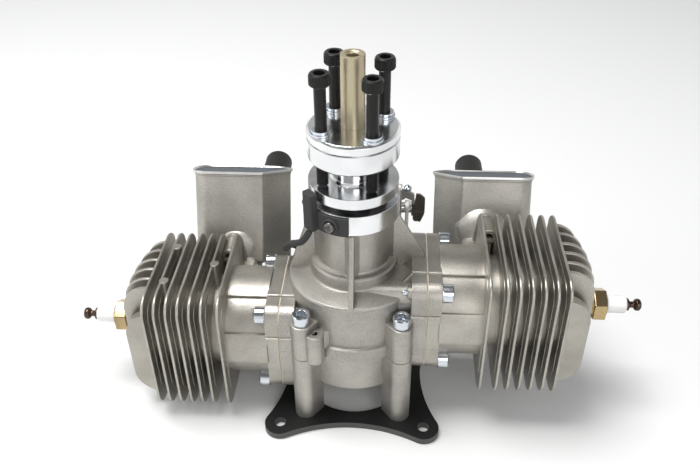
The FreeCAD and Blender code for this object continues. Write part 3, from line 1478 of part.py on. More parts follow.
def nodes():
    yield "mount_plate", mount_plate()
    yield "plate_screws", plate_screws()
    yield "leg_feet", leg_feet()
    yield "crankcase_rear", crankcase_rear()
    yield "crankcase_front", crankcase_front()
    yield "case_screws", case_screws()
    yield "bearing_outers", bearing_outers()
    yield "bearing_inners", bearing_inners()
    yield "shaft_seal", shaft_seal()
    yield "timing_ring", timing_ring()
    yield "sensor_block", sensor_block()
    yield "sensor_screws", sensor_screws()
    yield "sensor_lead", sensor_lead()
    yield "lead_plug", lead_plug()
    yield "prop_hub", prop_hub()
    yield "drive_key", key_way()
    yield "ignition_magnet", magnet_shape()
    yield "prop_washer", prop_washer()
    yield "prop_bolts", prop_bolts()
    yield "bolt_washers", bolt_washers()
    yield "prop_sleeve", prop_sleeve()
    yield "crankshaft_front", crankshaft_front()
    yield "crank_middle_web", crank_middle_web()
    yield "crankshaft_rear", crankshaft_rear()
    for side in SIDES:
        yield "crankpin_" + side, on_side(crankpin(), side)
        yield "big_end_cage_" + side, on_side(big_end_cage(), side)
        yield "conrod_" + side, on_side(conrod(), side)
        yield "piston_" + side, on_side(piston(), side)
        yield "piston_rings_" + side, on_side(piston_rings(), side)
        yield "wrist_pin_" + side, on_side(wrist_pin(), side)
        yield "cylinder_" + side, cylinder(side)
        yield "muffler_" + side, muffler(side)
    yield "muffler_lids", group(muffler_lid(side) for side in SIDES)
    yield "outlet_tubes", group(outlet_tube(side) for side in SIDES)
    yield "base_gaskets", base_gaskets()
    yield "cylinder_screws", cylinder_screws()
    yield "plug_shells", plug_shells()
    yield "plug_insulators", plug_insulators()
    yield "plug_terminals", plug_terminals()
    yield "plug_gaskets", plug_gaskets()
    yield "exhaust_gaskets", exhaust_gaskets()
    yield "muffler_screws", muffler_screws()
    yield "reed_block", reed_block()
    yield "reed_petals", reed_petals()
    yield "carb_insulator", carb_insulator()
    yield "carb_body", carb_body()
    yield "carb_screws", carb_screws()
    yield "fuel_nipple", fuel_nipple()
    yield "throttle_shaft", throttle_shaft()
    yield "throttle_lever", throttle_lever()
    yield "throttle_link", throttle_link()
    yield "choke_shaft", choke_shaft()


os.makedirs("parts", exist_ok=True)
for name, shape in nodes():
    shape.exportStep("parts/" + name + ".step")
    print(name, "solids", len(shape.Solids), "valid", shape.isValid(), "volume %.1f" % shape.Volume)
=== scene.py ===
"""Looks of a flat twin aircraft engine that stands on its mount plate, shaft up.

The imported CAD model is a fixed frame. Each class below makes the detailed pieces of
one sub-assembly from millimetre sizes, dresses them with procedural finishes and
lets them ride on the CAD bodies.
"""

import json
import logging
import math
from dataclasses import dataclass
from enum import Enum
from typing import Callable, Iterable, Optional, Sequence

import bmesh
import bpy
from mathutils import Matrix, Vector

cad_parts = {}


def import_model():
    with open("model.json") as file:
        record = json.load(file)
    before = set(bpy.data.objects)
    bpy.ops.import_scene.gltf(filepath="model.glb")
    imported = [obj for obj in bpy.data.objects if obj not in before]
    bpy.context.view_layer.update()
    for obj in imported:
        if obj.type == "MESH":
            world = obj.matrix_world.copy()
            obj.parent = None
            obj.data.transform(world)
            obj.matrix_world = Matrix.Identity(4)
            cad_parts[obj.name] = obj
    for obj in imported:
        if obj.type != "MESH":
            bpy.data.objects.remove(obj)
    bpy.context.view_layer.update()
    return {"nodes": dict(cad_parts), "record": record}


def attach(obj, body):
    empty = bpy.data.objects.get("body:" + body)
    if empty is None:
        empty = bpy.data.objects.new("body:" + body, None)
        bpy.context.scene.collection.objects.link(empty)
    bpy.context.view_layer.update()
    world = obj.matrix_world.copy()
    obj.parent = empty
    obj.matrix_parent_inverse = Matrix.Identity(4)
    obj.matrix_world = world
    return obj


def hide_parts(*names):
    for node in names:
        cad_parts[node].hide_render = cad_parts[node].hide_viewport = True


LOG = logging.getLogger("engine")
MM = 0.001
NEAR = 1e-6
SAME_CORNER = 1e-3
Mesh = bmesh.types.BMesh
Node = bpy.types.Node
Socket = bpy.types.NodeSocket
Pair = tuple[float, float]
Point = tuple[float, float, float]


class Side(Enum):
    """The two banks of the engine, as the sign of their X direction."""

    LEFT = -1
    RIGHT = 1

    @property
    def label(self) -> str:
        """Name used in node and piece names."""
        return self.name.lower()

    @property
    def axis_z(self) -> float:
        """Height of the bank's cylinder axis, in millimetres."""
        return 39.0 if self is Side.LEFT else 55.0


# Placing


def shift(x: float = 0.0, y: float = 0.0, z: float = 0.0) -> Matrix:
    """Translation in millimetres."""
    return Matrix.Translation((x, y, z))


def turn(degrees: float, axis: str = "Z") -> Matrix:
    """Rotation about a main axis through the origin."""
    return Matrix.Rotation(math.radians(degrees), 4, axis)


def aim(point: Sequence[float], direction: Sequence[float]) -> Matrix:
    """Carry a form built up the Z axis to a point, with Z along a direction."""
    quaternion = Vector(direction).to_track_quat("Z", "Y")
    return Matrix.Translation(point) @ quaternion.to_matrix().to_4x4()


def mirror(side: Side) -> Matrix:
    """Mirror a right-hand part across the YZ plane where it belongs on the left."""
    return Matrix.Scale(float(side.value), 4, (1, 0, 0))


def bank(side: Side) -> Matrix:
    """Carry a part built for the right-hand bank about z = 0 to its own bank."""
    return shift(z=side.axis_z) @ mirror(side)


ALONG_X = turn(90, "Y")
UPRIGHT = turn(90, "X")


def across(y: float, z: float) -> Matrix:
    """Carry a form built up the Z axis to lie along X at a place."""
    return ALONG_X @ shift(-z, y)


def polar(radius: float, degrees: float, z: float = 0.0) -> Point:
    """Point at a radius and angle round the crank axis."""
    angle = math.radians(degrees)
    return (radius * math.cos(angle), radius * math.sin(angle), z)


def corners(x: float, y: float) -> list[Pair]:
    """The four corners of a rectangle centred on the origin."""
    return [(sx * x, sy * y) for sx in (-1, 1) for sy in (-1, 1)]


def moved(piece: Mesh, place: Matrix) -> Mesh:
    """Transform a piece, and reverse its faces where the transform mirrors it."""
    piece.transform(place)
    if place.determinant() < 0:
        bmesh.ops.reverse_faces(piece, faces=piece.faces)
    return piece


# Closed pieces, each made with bmesh operators


def rise(edge: bmesh.types.BMEdge) -> float:
    """Height between an edge's two ends."""
    return abs(edge.verts[0].co.z - edge.verts[1].co.z)


def bevel(piece: Mesh, edges: list[bmesh.types.BMEdge], width: float, steps: int) -> None:
    """Round some edges of a piece."""
    bmesh.ops.bevel(piece, geom=edges, offset=width, segments=steps, profile=0.5,
                    affect="EDGES", material=-1, clamp_overlap=True)


def soften(piece: Mesh, width: float, angle: float = 35.0, steps: int = 2, level: bool = False) -> Mesh:
    """Bevel the sharp edges of a piece.

    Args:
        piece: The piece to bevel.
        width: Bevel width.
        angle: Edges whose faces meet at more than this many degrees are bevelled.
        steps: Steps across the bevel.
        level: Whether to bevel only the edges that lie level.

    Returns:
        The same piece.
    """
    if width <= 0:
        return piece
    limit = math.radians(angle)
    edges = [e for e in piece.edges if len(e.link_faces) == 2 and e.calc_face_angle(0) > limit
             and not (level and rise(e) >= NEAR)]
    if edges:
        bevel(piece, edges, width, steps)
    return piece


def disc(radius: float, z0: float, z1: float, edge: float = 0.25, steps: int = 64,
         top: Optional[float] = None) -> Mesh:
    """Round bar, or cone where its top radius differs, between two heights.

    Args:
        radius: Radius at the bottom.
        z0: Lower height.
        z1: Upper height.
        edge: Bevel on its two rims.
        steps: Sides of the circle.
        top: Radius at the top.

    Returns:
        The piece.
    """
    piece = bmesh.new()
    bmesh.ops.create_cone(piece, cap_ends=True, cap_tris=False, segments=steps, radius1=radius,
                          radius2=radius if top is None else top, depth=z1 - z0, matrix=shift(z=(z0 + z1) / 2))
    return soften(piece, edge)


def lathe(profile: Sequence[Pair], edge: float = 0.25, steps: int = 96, angle: float = 25.0) -> Mesh:
    """Closed outline of (radius, height) points spun about Z.

    Args:
        profile: The outline in order; a last edge closes it unless both ends lie on the axis.
        edge: Bevel on its sharp circles.
        steps: Steps round.
        angle: Circles sharper than this are bevelled.

    Returns:
        The piece.
    """
    piece = bmesh.new()
    verts = [piece.verts.new((r, 0, z)) for r, z in profile]
    edges = [piece.edges.new(pair) for pair in zip(verts, verts[1:])]
    if profile[0][0] > NEAR or profile[-1][0] > NEAR:
        edges.append(piece.edges.new((verts[-1], verts[0])))
    bmesh.ops.spin(piece, geom=verts + edges, cent=(0, 0, 0), axis=(0, 0, 1), dvec=(0, 0, 0),
                   angle=math.tau, steps=steps, use_merge=True, use_duplicate=False)
    bmesh.ops.remove_doubles(piece, verts=piece.verts, dist=1e-4)
    bmesh.ops.recalc_face_normals(piece, faces=piece.faces)
    return soften(piece, edge, angle)


def slab(half_u: float, half_v: float, corner: float, z0: float, z1: float, edge: float = 0.3,
         rounding: int = 8) -> Mesh:
    """Rounded rectangular slab in the XY plane.

    Args:
        half_u: Half its size along X.
        half_v: Half its size along Y.
        corner: Radius of its four upright corners.
        z0: Lower height.
        z1: Upper height.
        edge: Bevel on the rims of its two faces.
        rounding: Steps round each corner.

    Returns:
        The piece.
    """
    piece = bmesh.new()
    size = Matrix.Diagonal((2 * half_u, 2 * half_v, z1 - z0, 1.0))
    bmesh.ops.create_cube(piece, size=1.0, matrix=shift(z=(z0 + z1) / 2) @ size)
    if corner > 0:
        bevel(piece, [e for e in piece.edges if rise(e) > NEAR], corner, rounding)
    return soften(piece, edge, 60.0, 2, level=True)


def prism(points: Sequence[Pair], z0: float, z1: float, edge: float = 0.3, angle: float = 35.0) -> Mesh:
    """Flat outline in the XY plane, extruded up Z.

    Args:
        points: The outline's corners in order.
        z0: Lower height.
        z1: Upper height.
        edge: Bevel on its sharp edges.
        angle: Edges sharper than this are bevelled.

    Returns:
        The piece.
    """
    piece = bmesh.new()
    face = piece.faces.new([piece.verts.new((x, y, z0)) for x, y in points])
    grown = bmesh.ops.extrude_face_region(piece, geom=[face])
    top = [v for v in grown["geom"] if isinstance(v, bmesh.types.BMVert)]
    bmesh.ops.translate(piece, vec=(0, 0, z1 - z0), verts=top)
    bmesh.ops.recalc_face_normals(piece, faces=piece.faces)
    return soften(piece, edge, angle)


def plate(points: Sequence[Pair], radii: Sequence[float], z0: float, z1: float, edge: float) -> Mesh:
    """Flat outline whose corners have their own radii, extruded up Z.

    Args:
        points: The outline's corners in order.
        radii: Radius at each corner.
        z0: Lower height.
        z1: Upper height.
        edge: Bevel on the rims of its two faces.

    Returns:
        The piece.
    """
    piece = prism(points, z0, z1, 0.0)
    for radius in sorted({r for r in radii if r > 0}, reverse=True):
        places = [Vector(p) for p, r in zip(points, radii) if r == radius]
        upright = [e for e in piece.edges if rise(e) > NEAR
                   and any((e.verts[0].co.xy - place).length < SAME_CORNER for place in places)]
        bevel(piece, upright, radius, 9)
    return soften(piece, edge, 60.0, 3, level=True)


def sector(inner: float, outer: float, z0: float, z1: float, start: float, end: float, edge: float,
           steps: int = 20) -> Mesh:
    """Part of a tube between two angles about Z.

    Args:
        inner: Inner radius.
        outer: Outer radius.
        z0: Lower height.
        z1: Upper height.
        start: First angle in degrees.
        end: Last angle in degrees.
        edge: Bevel on its edges.
        steps: Steps round.

    Returns:
        The piece.
    """
    piece = bmesh.new()
    ring = [(inner, 0, z0), (outer, 0, z0), (outer, 0, z1), (inner, 0, z1)]
    face = piece.faces.new([piece.verts.new(place) for place in ring])
    bmesh.ops.rotate(piece, verts=piece.verts, cent=(0, 0, 0), matrix=turn(start).to_3x3())
    bmesh.ops.spin(piece, geom=[*piece.verts, *piece.edges, face], cent=(0, 0, 0), axis=(0, 0, 1),
                   dvec=(0, 0, 0), angle=math.radians(end - start), steps=steps, use_merge=False,
                   use_duplicate=False)
    bmesh.ops.recalc_face_normals(piece, faces=piece.faces)
    return soften(piece, edge)


def hull(first: Mesh, second: Mesh, edge: float) -> Mesh:
    """Convex skin drawn round two pieces, its sharp edges bevelled."""
    both = Form().add(first).add(second).bm
    bmesh.ops.delete(both, geom=both.edges, context="EDGES_FACES")
    made = bmesh.ops.convex_hull(both, input=both.verts)
    inside = {g for g in made["geom_interior"] + made["geom_unused"] if isinstance(g, bmesh.types.BMVert)}
    bmesh.ops.delete(both, geom=list(inside), context="VERTS")
    bmesh.ops.dissolve_limit(both, angle_limit=math.radians(1.0), verts=both.verts, edges=both.edges)
    bmesh.ops.recalc_face_normals(both, faces=both.faces)
    return soften(both, edge, 50.0)


def tongue(radii: Pair, steps: tuple[int, int], z0: float, z1: float, reach: Pair, edge: float) -> Mesh:
    """Flat piece with two round ends, the first on the Z axis.

    Args:
        radii: Radius of each end.
        steps: Sides of each end's circle.
        z0: Lower height.
        z1: Upper height.
        reach: Where the second end stands.
        edge: Bevel on its sharp edges.

    Returns:
        The piece.
    """
    first, second = (disc(radius, z0, z1, 0.0, count) for radius, count in zip(radii, steps))
    return hull(first, moved(second, shift(*reach)), edge)


def bell(sections: Iterable[tuple[float, float, float, float]], x: float) -> Mesh:
    """Closed skin through oval sections that stand across Y.

    Args:
        sections: For each section its y, its lowest and highest z and its half width.
        x: Middle of the sections.

    Returns:
        The piece.
    """
    piece = bmesh.new()
    rings = []
    for y, low, high, half in sections:
        oval = Matrix.Diagonal((half, (high - low) / 2, 1.0, 1.0))
        made = bmesh.ops.create_circle(piece, cap_ends=False, segments=48, radius=1.0,
                                       matrix=shift(x, y, (low + high) / 2) @ UPRIGHT @ oval)
        rings.append(list({e for v in made["verts"] for e in v.link_edges}))
    for near, far in zip(rings, rings[1:]):
        bmesh.ops.bridge_loops(piece, edges=near + far)
    bmesh.ops.holes_fill(piece, edges=rings[0] + rings[-1], sides=0)
    bmesh.ops.recalc_face_normals(piece, faces=piece.faces)
    return piece


def ball(radius: float) -> Mesh:
    """Sphere about the origin."""
    piece = bmesh.new()
    bmesh.ops.create_uvsphere(piece, u_segments=40, v_segments=20, radius=radius)
    return piece


def ring_bar(inner: float, outer: float, height: float, edge: float, steps: int = 48) -> Mesh:
    """Plain tube that stands on z = 0."""
    return lathe([(inner, 0), (outer, 0), (outer, height), (inner, height)], edge, steps)


def cap_screw(radius: float, head: float, height: float, length: float, thread: float = 0.0,
              knurls: int = 0) -> Mesh:
    """Socket cap screw, its seat at z = 0 and its shank below.

    Args:
        radius: Shank radius.
        head: Head radius.
        height: Head height.
        length: Shank length.
        thread: Length of thread at the shank's end; none where it is zero.
        knurls: Number of knurls round the head.

    Returns:
        The piece.
    """
    pitch = 0.8
    socket = radius * 0.92
    floor = height * 0.45
    rim = height - head * 0.09
    form = Form()
    form.add(lathe([(radius * 0.9, 0.02), (head * 0.94, 0.02), (head * 0.985, 0.3), (head * 0.985, rim * 0.9),
                    (head * 0.955, rim), (head * 0.86, height), (socket * 1.08, height),
                    (socket * 0.98, height - 0.3), (socket * 0.98, floor), (0, floor - 0.4), (0, 0.02)], 0.0, 48))
    for index in range(knurls):
        ridge = prism([(-0.2, 0), (0.2, 0), (0, 0.2)], 0.35, rim * 0.88, 0.0)
        form.add(ridge, turn(index * 360 / knurls) @ shift(y=head * 0.975))
    wall = disc(socket * 1.03, floor, height - 0.12, 0.0, 6)
    bmesh.ops.delete(wall, geom=[f for f in wall.faces if abs(f.normal.z) > 0.5], context="FACES")
    bmesh.ops.reverse_faces(wall, faces=wall.faces)
    form.add(wall)
    plain = length - thread
    form.add(disc(radius, -plain, 0.05, 0.0, 32))
    if thread > 0:
        outline = [(0.0, -plain)]
        root = radius - 0.36
        for index in range(int(thread / pitch)):
            top = -plain - index * pitch
            outline += [(root, top - pitch * 0.04), (radius, top - pitch * 0.45),
                        (radius, top - pitch * 0.6), (root, top - pitch * 0.98)]
        outline += [(radius - 0.5, -length), (0.0, -length)]
        form.add(lathe(outline, 0.0, 32))
    return form.bm


class Form:
    """A mesh gathered from closed pieces, in millimetres, that becomes one piece of the engine."""

    def __init__(self) -> None:
        """Start with nothing."""
        self.bm = bmesh.new()

    def add(self, piece: Mesh, place: Matrix = Matrix()) -> "Form":
        """Take up a finished piece at its place.

        Args:
            piece: The piece; it is freed here.
            place: Where it goes.

        Returns:
            The form, for chained calls.
        """
        mesh = bpy.data.meshes.new("piece")
        moved(piece, place).to_mesh(mesh)
        piece.free()
        self.bm.from_mesh(mesh)
        bpy.data.meshes.remove(mesh)
        return self

    def halve(self, z: float, above: bool) -> "Form":
        """Keep only what stands above or below a height, closed with flat faces."""
        geometry = [*self.bm.verts, *self.bm.edges, *self.bm.faces]
        bmesh.ops.bisect_plane(self.bm, geom=geometry, plane_co=(0, 0, z), plane_no=(0, 0, 1),
                               clear_inner=above, clear_outer=not above)
        open_edges = [e for e in self.bm.edges if len(e.link_faces) == 1]
        bmesh.ops.holes_fill(self.bm, edges=open_edges, sides=0)
        return self

    def finish(self, name: str, slot: str, *nodes: str, body: str = "crankcase",
               look: Optional["Finish"] = None, smooth: float = 40.0) -> None:
        """Make the form a piece of the engine.

        Args:
            name: The piece's name.
            slot: The record's material slot.
            *nodes: CAD nodes that it stands for.
            body: The CAD body that it rides on.
            look: What it is dressed with, where that isn't the slot's own finish.
            smooth: Edges flatter than this many degrees are shaded smooth.
        """
        self.bm.transform(Matrix.Scale(MM, 4))
        mesh = bpy.data.meshes.new(name)
        self.bm.to_mesh(mesh)
        self.bm.free()
        mesh.polygons.foreach_set("use_smooth", [True] * len(mesh.polygons))
        mesh.set_sharp_from_angle(angle=math.radians(smooth))
        mesh.materials.append((look or SLOTS[slot]).material())
        piece = link(name, mesh)
        piece.modifiers.new("weighted", "WEIGHTED_NORMAL").keep_sharp = True
        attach(piece, body)
        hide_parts(*nodes)
        LOG.info("%s: %d faces", name, len(mesh.polygons))


def link(name: str, data: bpy.types.ID) -> bpy.types.Object:
    """Put an object with some data into the scene."""
    made = bpy.data.objects.new(name, data)
    bpy.context.scene.collection.objects.link(made)
    return made


# Finishes


class Board:
    """A shader tree with short calls to add and feed its nodes."""

    def __init__(self, tree: bpy.types.NodeTree) -> None:
        """Take over a tree and clear it."""
        self.tree = tree
        tree.nodes.clear()

    def node(self, kind: str, feeds: Optional[dict[object, object]] = None, **settings: object) -> Node:
        """Add a node.

        Args:
            kind: Its type, without the ShaderNode prefix.
            feeds: A socket to link, or a value to set, for each input.
            **settings: Properties to set on it first.

        Returns:
            The node.
        """
        added = self.tree.nodes.new(kind if kind.startswith("Node") else "ShaderNode" + kind)
        for name, value in settings.items():
            setattr(added, name, value)
        for key, value in (feeds or {}).items():
            if isinstance(value, Socket):
                self.tree.links.new(value, added.inputs[key])
            else:
                added.inputs[key].default_value = value
        return added

    def math(self, operation: str, first: object, second: object = 0.0) -> Socket:
        """Add a maths node whose inputs are sockets or numbers."""
        return self.node("Math", {0: first, 1: second}, operation=operation).outputs[0]

    def total(self, first: tuple[object, object], second: tuple[object, object]) -> Socket:
        """Sum of two products."""
        return self.math("ADD", self.math("MULTIPLY", *first), self.math("MULTIPLY", *second))

    def noise(self, vector: Socket, scale: object, detail: float = 2.0, roughness: float = 0.5) -> Socket:
        """Noise over a vector."""
        feeds = {"Vector": vector, "Scale": scale, "Detail": detail, "Roughness": roughness}
        return self.node("TexNoise", feeds, noise_dimensions="3D").outputs[0]

    def ramp(self, factor: Socket, low: float, high: float, start: object, end: object) -> Socket:
        """Map a factor between two positions to two greys or colours."""
        added = self.node("ValToRGB", {0: factor})
        for element, place, value in zip(added.color_ramp.elements, (low, high), (start, end)):
            element.position = place
            element.color = (value, value, value, 1.0) if isinstance(value, float) else (*value, 1.0)
        return added.outputs[0]


def grain(board: Board, vector: Socket, scale: Socket) -> tuple[Socket, Socket]:
    """Fine grain of a blasted casting: a height, and a mottle for colour and roughness."""
    fine = board.noise(vector, scale, roughness=0.7)
    cells = board.node("TexVoronoi", {"Vector": vector, "Scale": board.math("MULTIPLY", scale, 0.55)}, feature="F1")
    wide = board.noise(vector, 55.0, 4.0)
    return board.total((fine, 0.7), (cells.outputs["Distance"], 0.4)), board.total((wide, 0.5), (fine, 0.5))


def rings(board: Board, vector: Socket, scale: Socket) -> tuple[Socket, Socket]:
    """Fine tool rings round the Z axis: a height, and streaks for colour and roughness."""
    x, y, z = board.node("SeparateXYZ", {0: vector}).outputs
    radius = board.math("SQRT", board.total((x, x), (y, y)))
    along = board.math("ADD", radius, board.math("MULTIPLY", z, 1.31))
    line = board.node("CombineXYZ", {0: board.math("MULTIPLY", along, scale)})
    return board.noise(line.outputs[0], 1.0, 3.0, 0.75), board.noise(vector, 90.0)


def relief(name: str, build: Callable[[Board, Socket, Socket], tuple[Socket, Socket]]) -> bpy.types.NodeTree:
    """Node group that several finishes share, built once.

    Args:
        name: The group's name.
        build: Makes its height and its mottle from a vector and a scale.

    Returns:
        The group.
    """
    group = bpy.data.node_groups.get(name)
    if group is None:
        group = bpy.data.node_groups.new(name, "ShaderNodeTree")
        for label, way, kind in (("Vector", "INPUT", "Vector"), ("Scale", "INPUT", "Float"),
                                 ("Height", "OUTPUT", "Float"), ("Mottle", "OUTPUT", "Float")):
            group.interface.new_socket(label, in_out=way, socket_type="NodeSocket" + kind)
        board = Board(group)
        entry = board.node("NodeGroupInput").outputs
        height, mottle = build(board, entry["Vector"], entry["Scale"])
        board.node("NodeGroupOutput", {"Height": height, "Mottle": mottle})
    return group


@dataclass(frozen=True)
class Finish:
    """One finish: a Principled surface with grain or turning marks.

    Attributes:
        name: The material's name.
        light: Colour of its lighter patches.
        dark: Colour of its darker patches.
        metallic: Metallic value.
        smooth_low: Roughness at one end of its variation.
        smooth_high: Roughness at the other.
        bump: Strength of the surface relief.
        scale: Scale of its grain or rings, per metre.
        depth: Depth of the relief in metres.
        turned: Whether it shows tool rings instead of grain.
        coat: Coat weight.
        specular: Specular level.
    """

    name: str
    light: Point
    dark: Point
    metallic: float
    smooth_low: float
    smooth_high: float
    bump: float
    scale: float
    depth: float
    turned: bool = False
    coat: float = 0.0
    specular: float = 0.5

    def colour(self, board: Board, mask: Socket, coordinates: Node) -> Socket:
        """Colour of the surface, from its mottle."""
        return board.ramp(mask, 0.38, 0.62, self.dark, self.light)

    def material(self) -> bpy.types.Material:
        """The Blender material, built once."""
        made = bpy.data.materials.get(self.name)
        if made is None:
            made = bpy.data.materials.new(self.name)
            made.use_nodes = True
            board = Board(made.node_tree)
            coordinates = board.node("TexCoord")
            group = relief("turning_rings", rings) if self.turned else relief("casting_grain", grain)
            feeds = {"Vector": coordinates.outputs["Object"], "Scale": self.scale}
            height, mottle = board.node("Group", feeds, node_tree=group).outputs
            bump = board.node("Bump", {"Strength": self.bump, "Distance": self.depth, "Height": height})
            shader = board.node("BsdfPrincipled", {
                "Base Color": self.colour(board, mottle, coordinates),
                "Roughness": board.ramp(mottle, 0.3, 0.7, self.smooth_low, self.smooth_high),
                "Metallic": self.metallic, "Specular IOR Level": self.specular, "Coat Weight": self.coat,
                "Coat Roughness": 0.12, "Normal": bump.outputs[0]})
            board.node("OutputMaterial", {0: shader.outputs[0]})
        return made


@dataclass(frozen=True)
class LaminateFinish(Finish):
    """Black laminate whose cut edges show its grey core."""

    core: Point = (0.085, 0.082, 0.078)

    def colour(self, board: Board, mask: Socket, coordinates: Node) -> Socket:
        """Black on the faces, grey where the surface is upright."""
        split = board.node("SeparateXYZ", {0: coordinates.outputs["Normal"]})
        level = board.ramp(board.math("ABSOLUTE", split.outputs[2]), 0.25, 0.6, 0.0, 1.0)
        black = board.ramp(mask, 0.34, 0.66, self.dark, self.light)
        return board.node("Mix", {0: level, 6: (*self.core, 1.0), 7: black}, data_type="RGBA").outputs[2]


@dataclass(frozen=True)
class YellowZincFinish(Finish):
    """Iridescent yellow zinc plating: gold that drifts to rose and green."""

    def colour(self, board: Board, mask: Socket, coordinates: Node) -> Socket:
        """Slow drift of hue over the plating."""
        split = board.node("SeparateXYZ", {0: coordinates.outputs["Object"]})
        stretched = [board.math("MULTIPLY", part, k) for part, k in zip(split.outputs, (420.0, 420.0, 60.0))]
        gather = board.node("CombineXYZ", dict(enumerate(stretched)))
        ramp = board.node("ValToRGB", {0: board.noise(gather.outputs[0], 1.0, 3.0)})
        stops = ramp.color_ramp.elements
        stops[0].position, stops[0].color = 0.36, (0.34, 0.23, 0.04, 1.0)
        stops[1].position, stops[1].color = 0.64, (0.82, 0.62, 0.15, 1.0)
        stops.new(0.46).color = (0.80, 0.40, 0.24, 1.0)
        stops.new(0.55).color = (0.44, 0.58, 0.14, 1.0)
        return ramp.outputs[0]


# The finish of each of the record's material slots

SLOTS: dict[str, Finish] = {
    "plate_laminate": LaminateFinish("black_laminate", (0.016, 0.016, 0.016), (0.009, 0.009, 0.009), 0.0, 0.34, 0.48,
                                     0.3, 1800.0, 0.00003, specular=0.22),
    "cast_case": Finish("cast_case_satin", (0.49, 0.47, 0.43), (0.31, 0.295, 0.27), 0.85, 0.36, 0.50, 0.9, 1900.0,
                        0.00012),
    "cast_cylinder": Finish("cast_cylinder_satin", (0.50, 0.48, 0.43), (0.34, 0.32, 0.285), 0.88, 0.33, 0.47, 0.8,
                            1900.0, 0.00010),
    "turned_aluminium": Finish("turned_bright", (0.86, 0.87, 0.88), (0.76, 0.77, 0.78), 1.0, 0.12, 0.26, 0.3, 5200.0,
                               0.00001, True),
    "muffler_shell": Finish("silencer_dull", (0.50, 0.48, 0.44), (0.33, 0.315, 0.29), 0.8, 0.38, 0.52, 0.8, 1700.0,
                            0.0001),
    "muffler_top": Finish("silencer_lid", (0.10, 0.125, 0.15), (0.06, 0.075, 0.095), 0.7, 0.4, 0.55, 0.4, 1700.0,
                          0.00006),
    "zinc_screws": Finish("zinc_plate", (0.70, 0.74, 0.78), (0.58, 0.62, 0.67), 1.0, 0.16, 0.24, 0.1, 3500.0,
                          0.000005),
    "black_screws": Finish("black_oxide", (0.020, 0.019, 0.018), (0.009, 0.009, 0.008), 0.2, 0.26, 0.42, 0.4, 3500.0,
                           0.00003, specular=0.32),
    "yellow_zinc": YellowZincFinish("yellow_zinc", (0.6, 0.5, 0.3), (0.46, 0.4, 0.24), 1.0, 0.16, 0.30, 0.2, 2600.0,
                                    0.00002),
    "hard_steel": Finish("ground_steel", (0.56, 0.56, 0.56), (0.46, 0.46, 0.46), 1.0, 0.18, 0.3, 0.15, 4200.0,
                         0.00001, True),
    "black_plastic": Finish("black_plastic", (0.020, 0.023, 0.028), (0.011, 0.013, 0.016), 0.0, 0.32, 0.45, 0.3,
                            2600.0, 0.00003, specular=0.28),
    "tube_black": Finish("tube_matte", (0.020, 0.019, 0.018), (0.010, 0.010, 0.009), 0.0, 0.5, 0.65, 0.5, 1500.0,
                         0.00006, specular=0.3),
    "ceramic": Finish("glazed_ceramic", (0.88, 0.88, 0.86), (0.84, 0.84, 0.82), 0.0, 0.10, 0.16, 0.1, 400.0, 0.00003,
                      coat=0.5),
    "plug_steel": Finish("plug_plating", (0.56, 0.43, 0.23), (0.30, 0.22, 0.12), 1.0, 0.14, 0.28, 0.2, 3200.0,
                         0.00002),
    "copper": Finish("copper_ring", (0.30, 0.16, 0.10), (0.20, 0.11, 0.07), 1.0, 0.25, 0.4, 0.2, 3200.0, 0.00003),
    "bronze": Finish("bronze_terminal", (0.13, 0.09, 0.07), (0.07, 0.05, 0.04), 1.0, 0.22, 0.36, 0.2, 3200.0,
                     0.00003),
    "gasket": Finish("fibre_gasket", (0.66, 0.60, 0.47), (0.50, 0.45, 0.35), 0.0, 0.65, 0.8, 0.5, 2200.0, 0.00005),
    "zinc_casting": Finish("zinc_casting", (0.56, 0.53, 0.47), (0.42, 0.40, 0.36), 0.9, 0.30, 0.44, 0.5, 2600.0,
                           0.00005),
    "lead_sheath": Finish("lead_sheath", (0.022, 0.022, 0.022), (0.012, 0.012, 0.012), 0.0, 0.5, 0.65, 0.6, 3000.0,
                          0.00006, specular=0.3),
    "seal_rubber": Finish("nitrile_rubber", (0.018, 0.018, 0.018), (0.012, 0.012, 0.012), 0.0, 0.5, 0.6, 0.3, 2600.0,
                          0.00004),
    "piston_alloy": Finish("piston_alloy", (0.62, 0.61, 0.59), (0.54, 0.53, 0.51), 1.0, 0.25, 0.38, 0.2, 3000.0,
                           0.00002),
    "petal_laminate": Finish("petal_laminate", (0.05, 0.06, 0.035), (0.03, 0.036, 0.02), 0.0, 0.4, 0.55, 0.3, 3000.0,
                             0.00003),
    "white_rod": Finish("white_nylon", (0.90, 0.90, 0.88), (0.86, 0.86, 0.84), 0.0, 0.3, 0.4, 0.2, 1800.0, 0.00003),
}
LID_RIM = Finish("silencer_rim", (0.74, 0.73, 0.71), (0.6, 0.59, 0.57), 1.0, 0.25, 0.38, 0.3, 2600.0, 0.00003)
DARK_STEEL = Finish("dark_steel", (0.20, 0.19, 0.18), (0.11, 0.10, 0.10), 1.0, 0.25, 0.4, 0.2, 3500.0, 0.00002)
DARK_CAST = Finish("dark_lever", (0.150, 0.135, 0.108), (0.090, 0.080, 0.066), 0.6, 0.36, 0.5, 0.5, 2600.0, 0.00006)


# Studio


